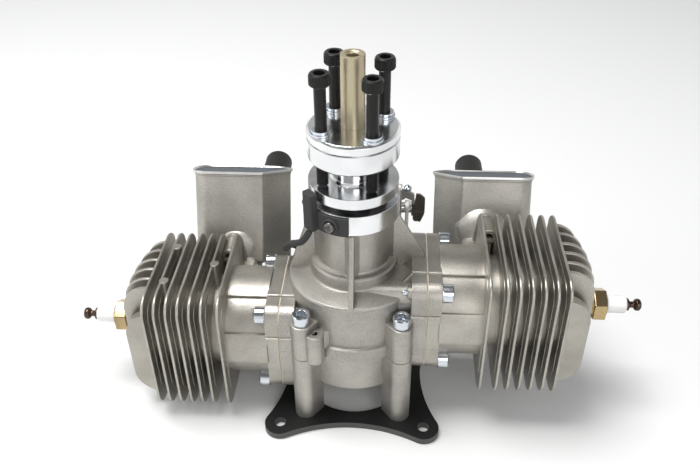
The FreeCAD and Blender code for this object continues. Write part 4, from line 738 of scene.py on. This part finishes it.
@dataclass
class Studio:
    """Camera, floor and lights."""

    eye: Point = (15.44, -283.63, 298.35)
    target: Point = (-1.80, 0.0, 92.0)
    roll: float = -0.60
    lens: float = 39.95
    ambient: float = 0.34

    def camera(self) -> None:
        """Place the camera at the photograph's viewing angle."""
        data = bpy.data.cameras.new("camera")
        data.lens = self.lens
        data.sensor_width = 36.0
        data.clip_start = 0.01
        data.clip_end = 50.0
        camera = link("camera", data)
        ahead = (Vector(self.target) - Vector(self.eye)).normalized()
        right = ahead.cross(Vector((0, 0, 1))).normalized()
        above = right.cross(ahead)
        roll = math.radians(self.roll)
        sideways = right * math.cos(roll) + above * math.sin(roll)
        upward = above * math.cos(roll) - right * math.sin(roll)
        basis = Matrix((sideways, upward, -ahead)).transposed().to_4x4()
        camera.matrix_world = Matrix.Translation(Vector(self.eye) * MM) @ basis
        bpy.context.scene.camera = camera

    def floor(self) -> None:
        """Plain pale floor that keeps the shadow."""
        bm = bmesh.new()
        bmesh.ops.create_grid(bm, x_segments=1, y_segments=1, size=4.0)
        mesh = bpy.data.meshes.new("floor")
        bm.to_mesh(mesh)
        bm.free()
        floor = link("floor", mesh)
        floor.location = (0, 0, -0.0002)
        made = bpy.data.materials.new("floor_pale")
        made.use_nodes = True
        shader = made.node_tree.nodes["Principled BSDF"]
        shader.inputs["Base Color"].default_value = (0.83, 0.83, 0.82, 1.0)
        shader.inputs["Roughness"].default_value = 0.9
        shader.inputs["Specular IOR Level"].default_value = 0.1
        mesh.materials.append(made)

    def lamp(self, name: str, place: Point, size: float, power: float) -> None:
        """Add a square soft lamp that looks at the engine.

        Args:
            name: The lamp's name.
            place: Where it stands, in metres.
            size: Side of its square, in metres.
            power: Power in watts.
        """
        data = bpy.data.lights.new(name, "AREA")
        data.shape = "SQUARE"
        data.size = size
        data.energy = power
        lamp = link(name, data)
        lamp.location = place
        towards = Vector((0, 0, 0.06)) - Vector(place)
        lamp.rotation_euler = towards.to_track_quat("-Z", "Y").to_euler()

    def world(self) -> None:
        """Soft grey surroundings that look white to the camera and in metal."""
        world = bpy.data.worlds.new("studio")
        world.use_nodes = True
        bpy.context.scene.world = world
        board = Board(world.node_tree)
        path = board.node("LightPath").outputs
        seen = board.math("MAXIMUM", path["Is Camera Ray"], path["Is Transmission Ray"])
        seen = board.math("MAXIMUM", seen, path["Is Glossy Ray"])
        split = board.node("SeparateXYZ", {0: board.node("TexCoord").outputs["Generated"]})
        sky = board.ramp(split.outputs[2], 0.22, 0.62, 1.0, 0.16)
        plain = board.node("Background", {0: (0.95, 0.97, 1.0, 1.0), 1: self.ambient})
        white = board.node("Background", {0: sky, 1: 1.0})
        blend = board.node("MixShader", {0: seen, 1: plain.outputs[0], 2: white.outputs[0]})
        board.node("OutputWorld", {0: blend.outputs[0]})

    def build(self) -> None:
        """Set up the whole studio."""
        bpy.context.scene.view_settings.view_transform = "Standard"
        self.camera()
        self.floor()
        self.world()
        self.lamp("key", (-0.30, 0.02, 1.15), 0.55, 13.0)
        self.lamp("front", (0.45, -1.05, 0.75), 0.8, 4.5)
        self.lamp("side", (-1.10, -0.35, 0.60), 0.7, 3.0)


# Sizes that several sub-assemblies share, in millimetres

# M5 cap screw: shank radius, head radius and head height
M5 = (2.5, 4.25, 5.0)
# Place of the right rear case screw, and the height of the case screws' seats
LEG = (22.5, 26.5)
LEG_TOP = 61.8
# Middle of the exhaust ports along X, and how far their screws stand above and below it
PORT_X = 63.4
PORT_BOLT = 22.5
# Where the small screw in the case's right side lies
SIDE_SCREW = across(-19.6, 75.0)


# Sub-assemblies


@dataclass
class Lead:
    """The sensor's lead and its route to the connector on the table."""

    radius: float = 1.5
    route: tuple[Point, ...] = (
        (-18.2, -17.4, 105.0), (-20.8, -16.6, 99.4), (-24.7, -12.4, 95.3), (-27.8, -5.7, 90.3),
        (-32.0, 1.5, 81.7), (-33.2, 10.5, 74.8), (-32.5, 21.0, 69.5), (-31.0, 31.5, 61.0),
        (-29.0, 38.5, 50.0), (-28.0, 43.5, 36.0), (-26.5, 50.0, 21.5), (-23.5, 61.0, 9.0),
        (-18.5, 75.0, 3.0), (-11.0, 89.5, 1.8), (1.5, 100.0, 1.8), (16.5, 102.5, 1.8), (30.0, 96.0, 1.8))

    def build(self) -> None:
        """Make the lead as one smooth curve."""
        curve = bpy.data.curves.new("sensor_lead_line", "CURVE")
        curve.dimensions = "3D"
        spline = curve.splines.new("NURBS")
        spline.points.add(len(self.route) - 1)
        for point, place in zip(spline.points, self.route):
            point.co = (*(Vector(place) * MM), 1.0)
        spline.order_u = 3
        spline.use_endpoint_u = True
        spline.resolution_u = 8
        curve.bevel_depth = self.radius * MM
        curve.bevel_resolution = 5
        curve.use_fill_caps = True
        curve.materials.append(SLOTS["lead_sheath"].material())
        piece = link("lead_line", curve)
        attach(piece, "crankcase")
        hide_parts("sensor_lead")


@dataclass
class Hub:
    """Propeller hub, washer, bolts, washers and sleeve."""

    flange_radius: float = 19.6
    flange_bottom: float = 118.1
    flange_top: float = 123.0
    neck_radius: float = 9.0
    disc_bottom: float = 133.6
    disc_radius: float = 19.5
    disc_top: float = 142.9
    face: float = 147.6
    bolt_circle: float = 15.0
    bolt_turn: float = -11.7
    bolt_head: float = 168.9
    bolt_length: float = 45.0
    sleeve_radius: float = 5.0
    sleeve_top: float = 178.4

    def build(self) -> None:
        """Make the pieces that turn with the shaft."""
        neck, wide, sleeve = self.neck_radius, self.disc_radius, self.sleeve_radius
        base, face, top = self.disc_top, self.face, self.sleeve_top
        outline = [(0, self.flange_bottom), (self.flange_radius, self.flange_bottom),
                   (self.flange_radius, self.flange_top), (neck + 1.2, self.flange_top),
                   (neck, self.flange_top + 1.2), (neck, self.disc_bottom), (wide - 1.2, self.disc_bottom),
                   (wide, self.disc_bottom + 1.2), (wide, base), (0, base)]
        Form().add(lathe(outline, 0.3, 128)).finish("hub_turned", "turned_aluminium", "prop_hub", body="crank")
        outline = [(sleeve, base), (wide - 0.9, base), (wide, base + 0.9), (wide, face - 0.9), (wide - 0.9, face),
                   (sleeve, face)]
        Form().add(lathe(outline, 0.15, 128)).finish("washer_turned", "turned_aluminium", "prop_washer", body="crank")
        bolts, washers = Form(), Form()
        for index in range(4):
            x, y, _ = polar(self.bolt_circle, self.bolt_turn + 45 + 90 * index)
            bolts.add(cap_screw(*M5, self.bolt_length, 20.0, 32), shift(x, y, self.bolt_head))
            washers.add(ring_bar(2.6, 4.6, 1.0, 0.15), shift(x, y, face))
            washers.add(ring_bar(2.6, 4.1, 1.3, 0.15), shift(x, y, face + 1.0))
        bolts.finish("bolts_black", "black_screws", "prop_bolts", body="crank", smooth=24.0)
        washers.finish("washers_plated", "zinc_screws", "bolt_washers", body="crank")
        outline = [(0, base), (sleeve - 0.4, base), (sleeve - 0.4, face - 0.2), (sleeve, face - 0.2), (sleeve, top),
                   (3.4, top), (2.5, top - 0.9), (2.5, top - 14), (0, top - 14)]
        Form().add(lathe(outline, 0.25, 64)).finish("sleeve_plated", "yellow_zinc", "prop_sleeve", body="crank")


def seat(x0: float, x1: float) -> Form:
    """Seat of a right-hand cylinder between two places along X: a rounded square with raised bands."""
    form = Form().add(slab(24.6, 24.6, 7.5, x0, x1), ALONG_X)
    for half_z, half_y, z in ((12.8, 12.0, 12.8), (9.85, 25.6, 0.75)):
        form.add(slab(half_z, half_y, 0.8, x0 + 0.04, x1 - 0.04, 0.28), ALONG_X @ shift(-z))
    return form


@dataclass
class Crankcase:
    """The two case halves with their legs, ribs and cylinder seats."""

    split: float = 42.0
    parting: float = 0.04
    shoulder: float = 81.3
    nose_radius: float = 16.3
    nose_top: float = 110.3
    leg_radius: float = 5.3
    leg_web: Pair = (15.0, 23.8)
    plate_top: float = 3.5
    rib_thickness: float = 2.5
    clip: Pair = (-16.4, -29.6)
    clip_top: float = 58.0

    def seats(self, above: bool) -> Form:
        """Both cylinder seats with their necks, cut at the parting plane."""
        form = Form()
        for side in Side:
            form.add(seat(26.4, 33.3).add(slab(21.5, 21.5, 6.0, 0.0, 33.0, 0.4), ALONG_X).bm, bank(side))
        return form.halve(self.split + (self.parting if above else -self.parting), above)

    def legs(self, form: Form, z0: float, z1: float, edge: float) -> None:
        """Add the four corner columns between two heights."""
        reach = (self.leg_web[0] - LEG[0], self.leg_web[1] - LEG[1])
        for x, y in corners(1.0, 1.0):
            column = tongue((self.leg_radius, 1.0), (48, 24), z0, z1, reach, edge)
            form.add(column, Matrix.Diagonal((x, y, 1.0, 1.0)) @ shift(*LEG))

    def ribs(self, form: Form) -> None:
        """Add the four webs that brace the nose; the right one ends on its higher cylinder seat."""
        common = [(13.3, 104.6), (19.6, 104.6), (30.0, 73.4), (30.0, 72.0), (28.0, 70.0), (13.3, 70.0)]
        right = [(13.3, 104.6), (19.6, 104.6), (32.4, 82.6), (32.4, 78.5), (26.4, 78.5), (24.3, 77.6), (22.4, 75.6),
                 (21.2, 74.2), (20.2, 73.0), (20.2, 70.0), (13.3, 70.0)]
        half = self.rib_thickness / 2
        for index in range(4):
            form.add(prism(common if index else right, -half, half, 0.75, 20.0), turn(90 * index) @ UPRIGHT)
            root = prism([(0, -4.5), (4.5, 0), (0, 4.5)], self.shoulder - 1.0, 104.2, 0.0)
            form.add(root, turn(90 * index) @ shift(self.nose_radius - 1.6))

    def front(self) -> None:
        """Make the front half, and a black liner in the clip's tapped hole that paints the shade down its depth."""
        nose, top, ear_x, ear_y = self.nose_radius, self.clip_top, *self.clip
        form = self.seats(True)
        form.add(lathe([(0, self.split), (31.0, self.split), (31.0, 48.2), (30.7, 48.5), (29.4, 48.8), (29.9, 71.0),
                        (30.15, 71.3), (30.15, 72.3), (29.5, 73.0), (28.8, 73.1), (21.4, 74.6), (20.3, 75.2),
                        (20.0, 76.2), (20.0, 80.4), (19.1, 81.3), (18.2, 81.3), (17.2, 81.6), (16.5, 82.3),
                        (nose, 83.4), (nose, self.nose_top), (0, self.nose_top)], 0.22, 160, 28.0))
        self.legs(form, self.split, LEG_TOP, 0.7)
        self.ribs(form)
        form.add(lathe([(0, 46.0), (1.3, 46.0), (1.3, top - 0.3), (1.45, top), (3.8, top), (4.2, top - 0.4),
                        (4.2, self.split), (0, self.split)], 0.1, 48), shift(ear_x, ear_y))
        form.add(tongue((2.2, 1.0), (32, 16), 50.0, top - 0.1, (-2.5, 4.5), 0.3), shift(ear_x - 2.0, ear_y + 1.5))
        wing = prism([(0.0, 0.0), (5.4, 3.0), (5.4, 4.4), (-1.0, 4.4)], 48.0, top - 0.05, 0.25)
        form.add(wing, shift(ear_x + 2.6, ear_y - 0.2))
        # Seat of the reed block, behind
        form.add(slab(17.0, 14.0, 5.0, -34.0, -20.0, 0.5), shift(z=60.0) @ UPRIGHT)
        form.add(disc(3.3, 24.7, 27.5, 0.5, 48), SIDE_SCREW)
        for y in (-13.7, 13.7):
            gusset = prism([(19.0, 72.0), (19.4, 73.3), (25.9, 81.2), (26.9, 81.2), (26.9, 72.0)], -0.9, 0.9, 0.4)
            form.add(gusset, shift(y=y) @ UPRIGHT)
        form.finish("case_front_casting", "cast_case", "crankcase_front")
        # Black-oxide liner inside the clip's hole: painted shade down the hole, not a real part of the casting.
        wall = lathe([(0, 46.2), (1.36, 46.2), (1.36, 57.5), (1.16, 57.5), (1.16, 47.0), (0, 47.0)], 0.0, 32)
        Form().add(wall, shift(ear_x, ear_y)).finish("clip_hole_painted_shade", "cast_case", "crankcase_front",
                                                     look=SLOTS["black_screws"])

    def build(self) -> None:
        """Make both halves."""
        self.front()
        rear = self.seats(False)
        rear.add(lathe([(0, 15.0), (18.0, 15.0), (18.0, 21.0), (27.7, 21.0), (28.7, 22.0), (29.1, self.split),
                        (0, self.split)], 0.35, 160))
        self.legs(rear, self.plate_top, self.split, 0.2)
        rear.finish("case_rear_casting", "cast_case", "crankcase_rear", "leg_feet")


@dataclass
class Cylinder:
    """One cylinder with its fins and its integral head, built for the right-hand bank about z = 0."""

    side: Side
    fins: tuple[float, ...] = (59.7, 67.1, 72.4, 77.7, 83.0, 88.3, 93.6)
    fin_half: Pair = (33.0, 31.0)
    fin_thickness: float = 1.35
    bands: tuple[Pair, ...] = ((-9.0, 26.5), (64.0, 116.0), (153.5, 189.0), (244.0, 296.0))
    head_top: float = 109.2
    head_shoulder: float = 105.4
    head_half_width: float = 22.6
    head_half_height: float = 30.0
    blade_pitch: float = 7.2
    port_y: float = 31.6
    posts: tuple[Pair, ...] = ((87.0, 13.5), (87.0, -12.5), (66.2, 1.0))

    def head(self, form: Form) -> None:
        """Add the head's blades, its round core and the plug's boss."""
        wide, high = self.head_half_width, self.head_half_height
        places = [(-wide, 4.6, 20.0)]
        y = -wide + self.blade_pitch
        while y < wide - 1.5:
            places.append((y, 2.0, high))
            y += self.blade_pitch
        for y, thickness, top in places:
            middle = (y + thickness / 2) / wide
            end = self.head_shoulder + (self.head_top - self.head_shoulder) * (1 - middle ** 2)
            outline = [(93.0, -high), (end, -high), (end, top), (93.0, top)]
            form.add(plate(outline, [0, 14.5, 12.5, 0], -y - thickness, -y, min(0.7, thickness * 0.33)), UPRIGHT)
        for radius, x0, x1, edge, steps in ((21.5, 59.0, 94.0, 0.5, 96), (17.0, 92.0, 98.5, 1.2, 96),
                                            (9.5, 92.0, self.head_top, 0.8, 64)):
            form.add(disc(radius, x0, x1, edge, steps), ALONG_X)

    def build(self) -> None:
        """Make the casting."""
        form = seat(33.8, 40.0)
        form.add(disc(25.4, 39.5, 60.0, 0.2, 128), ALONG_X)
        form.add(disc(19.6, 28.5, 34.5, 0.2, 96), ALONG_X)
        for start, end in self.bands:
            form.add(sector(20.0, 27.0, 39.2, 59.8, start + 90, end + 90, 0.5), ALONG_X)
        for x in self.fins:
            for shrink, grow, edge in ((0.0, 0.0, 0.5), (5.0, 0.25, 0.25)):
                half_z, half_y = (size - shrink for size in self.fin_half)
                half = self.fin_thickness / 2 + grow
                form.add(slab(half_z, half_y, 9.0, x - half, x + half, edge, 10), ALONG_X)
        self.head(form)
        form.add(slab(11.0, 12.0, 1.5, 10.0, self.port_y, 0.5), shift(PORT_X) @ turn(-90, "X"))
        for z in (-PORT_BOLT, PORT_BOLT):
            boss = lathe([(0, 0), (4.3, 0), (4.3, 11.5), (3.8, 12.0), (2.5, 12.0), (2.05, 11.6), (2.05, 7.0), (0, 7.0)],
                         0.1, 48)
            form.add(boss, aim((PORT_X, self.port_y, z), (0, -1, 0)))
            form.add(slab(2.0, 6.0, 0.5, min(0.5 * z, z), max(0.5 * z, z)), shift(PORT_X, self.port_y - 6.0))
        if self.side is Side.LEFT:
            for x, y in self.posts:
                form.add(disc(2.6, 18.2, 33.2, 0.35, 40, 2.2), shift(x, y))
        moved(form.bm, bank(self.side))
        form.finish(f"cylinder_{self.side.label}_casting", "cast_cylinder", "cylinder_" + self.side.label)


@dataclass
class SparkPlug:
    """One spark plug, built along X from its seat on the head."""

    side: Side
    seat: float = 109.2

    def build(self) -> None:
        """Make the shell, the ceramic and the terminal."""
        shell = Form().add(lathe([(0, -12.0), (5.0, -12.0), (5.0, 1.5), (6.5, 1.5), (6.5, 2.0), (6.1, 2.3), (6.1, 2.7),
                                  (6.6, 3.0), (0, 3.0)], 0.12, 48)).add(disc(8.05, 2.9, 8.7, 0.45, 6), turn(30)).bm
        collar = lathe([(0, 8.0), (6.3, 8.0), (6.3, 8.8), (5.7, 9.3), (4.5, 9.3), (4.3, 9.0), (0, 9.0)], 0.1, 48)
        ceramic = lathe([(0, 8.3), (4.2, 8.3), (4.2, 17.9), (3.9, 18.5), (3.2, 18.9), (0, 18.9)], 0.3, 64)
        terminal = lathe([(0, 18.8), (3.0, 18.8), (3.0, 19.9), (1.6, 20.6), (1.5, 22.4), (2.3, 22.9), (2.9, 23.6),
                          (2.9, 24.9), (2.2, 25.7), (0, 25.7)], 0.2, 48)
        for word, piece, slot, node, look, smooth in (
                ("shell", shell, "plug_steel", "plug_shells", None, 30.0),
                ("collar", collar, "plug_steel", "plug_shells", DARK_STEEL, 40.0),
                ("ceramic", ceramic, "ceramic", "plug_insulators", None, 40.0),
                ("terminal", terminal, "bronze", "plug_terminals", None, 40.0),
                ("ring", ring_bar(5.1, 6.8, 1.4, 0.4, 64), "copper", "plug_gaskets", None, 40.0)):
            form = Form().add(piece, bank(self.side) @ ALONG_X @ shift(z=self.seat))
            form.finish(f"plug_{word}_{self.side.label}", slot, node, look=look, smooth=smooth)


@dataclass
class Silencer:
    """One silencer: leaning can, dished lid, flared neck, flange and outlet tube."""

    side: Side
    top: Pair = (51.0, 90.7)
    lean: float = 22.0
    length: float = 47.0
    start: float = 32.1
    flange: float = 2.5
    outlet_z: float = 72.3
    outline: tuple[Pair, ...] = ((-11.5, 0.0), (24.6, 0.0), (24.6, 18.5), (-19.5, 18.5), (-25.2, 12.7))
    radii: tuple[float, ...] = (0.8, 8.4, 8.3, 5.0, 1.6)

    @property
    def middle(self) -> float:
        """Middle of the can along X."""
        return 61.0 if self.side is Side.LEFT else 63.5

    @property
    def outlet(self) -> float:
        """Place of the outlet along X."""
        return 47.5 if self.side is Side.LEFT else 59.3

    @property
    def neck(self) -> tuple[tuple[float, float, float, float], ...]:
        """The neck's sections: y from the port, lowest and highest z about the axis, half width."""
        if self.side is Side.LEFT:
            return ((0.5, -9.0, 9.0, 9.5), (2.4, -8.0, 14.0, 11.0), (4.4, -6.0, 20.8, 12.8), (7.4, -3.0, 24.0, 14.0),
                    (10.9, -1.0, 25.0, 14.0))
        return ((0.5, -9.0, 9.0, 9.5), (2.6, -8.5, 10.0, 9.6), (5.0, -6.0, 13.5, 10.8), (7.5, -4.7, 17.5, 12.4),
                (11.0, -3.5, 21.0, 14.2), (15.0, -4.9, 22.5, 15.2))

    def can(self, grow: float, z0: float, z1: float, edge: float) -> Mesh:
        """A slice of the can's plan, a little larger or smaller.

        Args:
            grow: How far its sides stand out.
            z0: Lower height from the can's top.
            z1: Upper height from the can's top.
            edge: Bevel on its rims.

        Returns:
            The piece.
        """
        half_x, half_y = 24.6, 9.25
        size = Matrix.Diagonal(((half_x + grow) / half_x, (half_y + grow) / half_y, 1.0, 1.0))
        return moved(plate(self.outline, self.radii, z0, z1, edge), shift(y=half_y) @ size @ shift(y=-half_y))

    def build(self) -> None:
        """Make the silencer's pieces."""
        own, label, axis = mirror(self.side), self.side.label, self.side.axis_z
        place = own @ shift(self.middle, *self.top) @ turn(-self.lean, "X")
        shell = Form().add(self.can(0.0, -self.length, 0.1, 1.4), place).add(self.can(0.35, -1.2, -0.1, 0.3), place)
        sections = [(self.start + y, axis + low, axis + high, half) for y, low, high, half in self.neck]
        shell.add(bell(sections, PORT_X), own)
        shell.add(slab(11.0, 11.5, 3.0, -self.start - self.flange, -self.start, 0.4),
                  own @ shift(PORT_X, 0, axis) @ UPRIGHT)
        screws = Form()
        for z in (-PORT_BOLT, PORT_BOLT):
            hole = (PORT_X, self.start + self.flange, axis + z)
            ear = tongue((4.3, 6.0), (40, 40), 0, self.flange, (0, -z * 0.62), 0.35)
            shell.add(ear, own @ shift(*hole) @ UPRIGHT)
            screws.add(cap_screw(2.0, 2.7, 2.4, 11.0), own @ aim(hole, (0, 1, 0)))
        shell.add(ring_bar(4.9, 5.95, 20.0, 0.15), own @ aim((self.outlet, 60.0, self.outlet_z), (0, 1, 0)))
        shell.finish(f"silencer_{label}_shell", "muffler_shell", "muffler_" + label)
        rim = self.can(1.2, 0.0, 1.6, 0.0)
        lids = [f for f in rim.faces if f.normal.z > 0.9]
        bmesh.ops.inset_region(rim, faces=lids, thickness=0.7, depth=0.0, use_even_offset=True)
        bmesh.ops.translate(rim, vec=(0, 0, -0.85), verts=list({v for f in lids for v in f.verts}))
        rim = Form().add(soften(rim, 0.25, 50.0), place)
        rim.finish(f"lid_rim_{label}", "muffler_top", "muffler_lids", look=LID_RIM)
        Form().add(self.can(0.1, 0.2, 0.82, 0.1), place).finish(f"lid_dish_{label}", "muffler_top", "muffler_lids")
        tube = Form().add(ring_bar(6.0, 7.4, 27.0, 0.35, 64), own @ aim((self.outlet, 68.0, self.outlet_z), (0, 1, 0)))
        tube.finish(f"outlet_{label}_tube", "tube_black", "outlet_tubes")
        screws.finish(f"exhaust_{label}_screws", "black_screws", "muffler_screws")


@dataclass
class Ignition:
    """Timing ring, sensor with its curved arm, and their screws."""

    ring_radius: float = 20.2
    bottom: float = 105.4
    top: float = 115.0
    angle: float = 219.0
    block: Point = (3.8, 6.4, 18.0)
    arm_end: float = 267.0
    screw_angle: float = 246.0

    def cross_screw(self, radius: float, height: float) -> Mesh:
        """Pan-head screw with a cross recess, its seat at z = 0."""
        form = Form().add(lathe([(0, 0), (radius, 0), (radius, height * 0.45), (radius * 0.93, height * 0.75),
                                 (radius * 0.72, height * 0.97), (radius * 0.5, height),
                                 (radius * 0.3, height * 0.6), (0, height * 0.25)], 0.0, 40))
        for degrees in (20, 110):
            form.add(slab(radius * 0.5, radius * 0.13, 0.0, height * 0.2, height * 1.02, 0.0), turn(degrees))
        return form.bm

    def build(self) -> None:
        """Make the ring, the block, the arm and the screws."""
        bore, lip = 16.35, 14.6
        ring = lathe([(bore, self.bottom), (self.ring_radius, self.bottom), (self.ring_radius, self.top),
                      (lip, self.top), (lip, 110.4), (bore, 110.4)], 0.4, 160)
        Form().add(ring).finish("timing_ring_turned", "turned_aluminium", "timing_ring")
        inner = self.ring_radius + 0.05
        depth, width, height = self.block
        middle = inner + 0.55 + depth / 2
        block = Form().add(slab(depth / 2, width / 2, 0.9, 105.0, 105.0 + height, 0.35),
                           turn(self.angle) @ shift(middle))
        block.add(slab(0.9, width / 2 - 0.5, 0.2, 106.0, 114.4, 0.1), turn(self.angle) @ shift(inner + 0.7))
        block.add(sector(inner, inner + 1.5, self.bottom + 0.3, self.top - 0.3, self.angle - 8, self.arm_end, 0.35, 30))
        place = aim(polar(inner + 0.6, self.screw_angle, 110.2), polar(1, self.screw_angle))
        block.add(lathe([(0, 0), (3.8, 0), (3.8, 1.5), (3.4, 1.9), (2.9, 1.9), (2.7, 1.6), (0, 1.6)], 0.1, 48), place)
        block.finish("sensor_case", "black_plastic", "sensor_block")
        screws = Form().add(self.cross_screw(2.5, 1.5), place @ shift(z=1.6))
        angle = math.radians(self.angle)
        along = Vector((math.sin(angle), -math.cos(angle), 0))
        point = Vector(polar(middle, self.angle, 117.0)) + along * (width / 2)
        screws.add(self.cross_screw(1.7, 0.9), aim(point, along))
        screws.finish("sensor_screws_dark", "zinc_screws", "sensor_screws", look=DARK_STEEL)


@dataclass
class Fasteners:
    """The plated cap screws of the crankcase and of the cylinder bases."""

    base_x: float = 40.0
    base: Pair = (19.6, 20.0)

    def build(self) -> None:
        """Make both sets of screws."""
        case = Form()
        for x, y in corners(*LEG):
            case.add(cap_screw(*M5, 36.0), shift(x, y, LEG_TOP))
        case.finish("case_screws_plated", "zinc_screws", "case_screws", smooth=24.0)
        base = Form()
        for side in Side:
            for y, z in corners(*self.base):
                base.add(cap_screw(*M5, 11.0), bank(side) @ aim((self.base_x, y, z), (1, 0, 0)))
        base.add(disc(1.3, 22.4, 25.5, 0.3, 32), SIDE_SCREW)
        base.finish("base_screws_plated", "zinc_screws", "cylinder_screws", smooth=24.0)


@dataclass
class Linkage:
    """Throttle lever with its push rod, and the choke's spindle with its folded lever."""

    throttle_y: float = 55.2
    choke_y: float = 68.4
    spindle_z: float = 60.0
    ball: Point = (24.8, 56.0, 81.2)
    ball_radius: float = 2.2
    stud: Pair = (55.6, 71.6)
    rod_x: float = 25.0
    rod_low: float = 45.6

    def arm(self, x: float, y: float, top_y: float, top_z: float) -> Mesh:
        """Flat arm from a hub on the spindle to a rounded tip.

        Args:
            x: Its outer face.
            y: The spindle's place along Y.
            top_y: The tip's place along Y.
            top_z: The tip's height.

        Returns:
            The piece, already in place.
        """
        hub = moved(disc(3.6, x - 1.5, x, 0.0, 48), across(y, self.spindle_z))
        tip = moved(disc(2.6, x - 1.5, x, 0.0, 48), across(top_y, top_z))
        return hull(hub, tip, 0.25)

    def throttle(self) -> None:
        """Make the throttle's lever, its ball and the push rod."""
        ball_x, ball_y, ball_z = self.ball
        stud_y, stud_z = self.stud
        stud = across(*self.stud)
        lever = Form().add(self.arm(22.0, self.throttle_y, ball_y, 81.0))
        lever.add(disc(1.2, 20.6, ball_x, 0.1, 32), across(ball_y, ball_z))
        outline = [(20.8, 81.3), (24.1, 80.3), (27.4, 79.1), (28.6, 78.3), (28.6, 71.9), (27.9, 71.9), (27.2, 74.4),
                   (25.7, 75.0), (24.2, 75.8), (22.6, 74.4), (20.8, 75.9)]
        lever.add(prism(outline, -56.5, -55.0), UPRIGHT)
        lever.add(disc(1.3, 20.6, 26.5, 0.1, 32), stud).add(disc(2.0, 26.3, 27.1, 0.25, 32), stud)
        lever.finish("throttle_lever_cast", "zinc_casting", "throttle_lever", body="throttle")
        knob = Form().add(ball(self.ball_radius), shift(*self.ball))
        knob.add(disc(1.35, -0.5, 0.5, 0.2, 32), across(ball_y, ball_z) @ shift(z=ball_x - self.ball_radius))
        knob.finish("throttle_ball", "zinc_casting", "throttle_lever", body="throttle", look=SLOTS["zinc_screws"])
        rod = Form().add(lathe([(1.35, 23.9), (2.2, 23.9), (2.5, 24.2), (2.5, 25.8), (2.2, 26.1), (1.35, 26.1)], 0.1,
                               48), stud)
        rod.add(disc(1.4, stud_z - 3.3, stud_z - 2.05, 0.1, 32), shift(self.rod_x, stud_y))
        rod.add(disc(1.0, self.rod_low, stud_z - 2.0, 0.15, 32), shift(self.rod_x, stud_y))
        rod.finish("throttle_rod_white", "white_rod", "throttle_link", body="throttle_rod")

    def build(self) -> None:
        """Make the moving pieces."""
        self.throttle()
        spindle = Form().add(disc(2.0, -18.0, 29.3, 0.2, 40), across(self.choke_y, self.spindle_z))
        spindle.add(disc(6.2, self.spindle_z - 0.45, self.spindle_z + 0.45, 0.15), shift(y=self.choke_y))
        spindle.finish("choke_spindle", "black_plastic", "choke_shaft", body="choke", look=SLOTS["hard_steel"])
        fold = Form().add(self.arm(29.2, self.choke_y, self.choke_y - 1.0, 65.4))
        face = [(29.8, 72.0), (32.2, 71.8), (34.7, 69.4), (34.8, 60.4), (28.4, 61.1), (27.8, 64.0), (29.2, 66.4)]
        lower = [(28.4, 61.6), (34.8, 60.9), (34.3, 58.6), (32.6, 54.2), (28.5, 55.8)]
        fold.add(prism(face, -66.3, -64.8), UPRIGHT).add(prism(lower, -66.0, -64.4), UPRIGHT)
        fold.add(slab(2.0, 2.6, 0.4, 54.6, 56.0), shift(31.0, 67.2))
        fold.finish("choke_lever_dark", "black_plastic", "choke_shaft", body="choke", look=DARK_CAST)


def dress_nodes(nodes: dict[str, bpy.types.Object], record: dict) -> None:
    """Give every CAD node the finish of its material slot.

    Args:
        nodes: The CAD nodes by name.
        record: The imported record.
    """
    slots = {part["node"]: part["material_slot"] for part in record["subparts"]}
    for name, piece in nodes.items():
        finish = SLOTS[slots[name]]
        if not piece.material_slots:
            piece.data.materials.append(finish.material())
        for holder in piece.material_slots:
            holder.material = finish.material()
    LOG.info("dressed %d nodes", len(nodes))


def main() -> None:
    """Build the engine's looks in order."""
    logging.basicConfig(level=logging.INFO, format="%(name)s %(message)s")
    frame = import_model()
    Studio().build()
    Lead().build()
    dress_nodes(frame["nodes"], frame["record"])
    assemblies = [Hub(), Fasteners(), Crankcase(), Ignition(), Linkage()]
    for side in Side:
        assemblies += [Cylinder(side), SparkPlug(side), Silencer(side)]
    for assembly in assemblies:
        assembly.build()
        LOG.info("built %s", type(assembly).__name__)


if __name__ == "__main__":
    main()
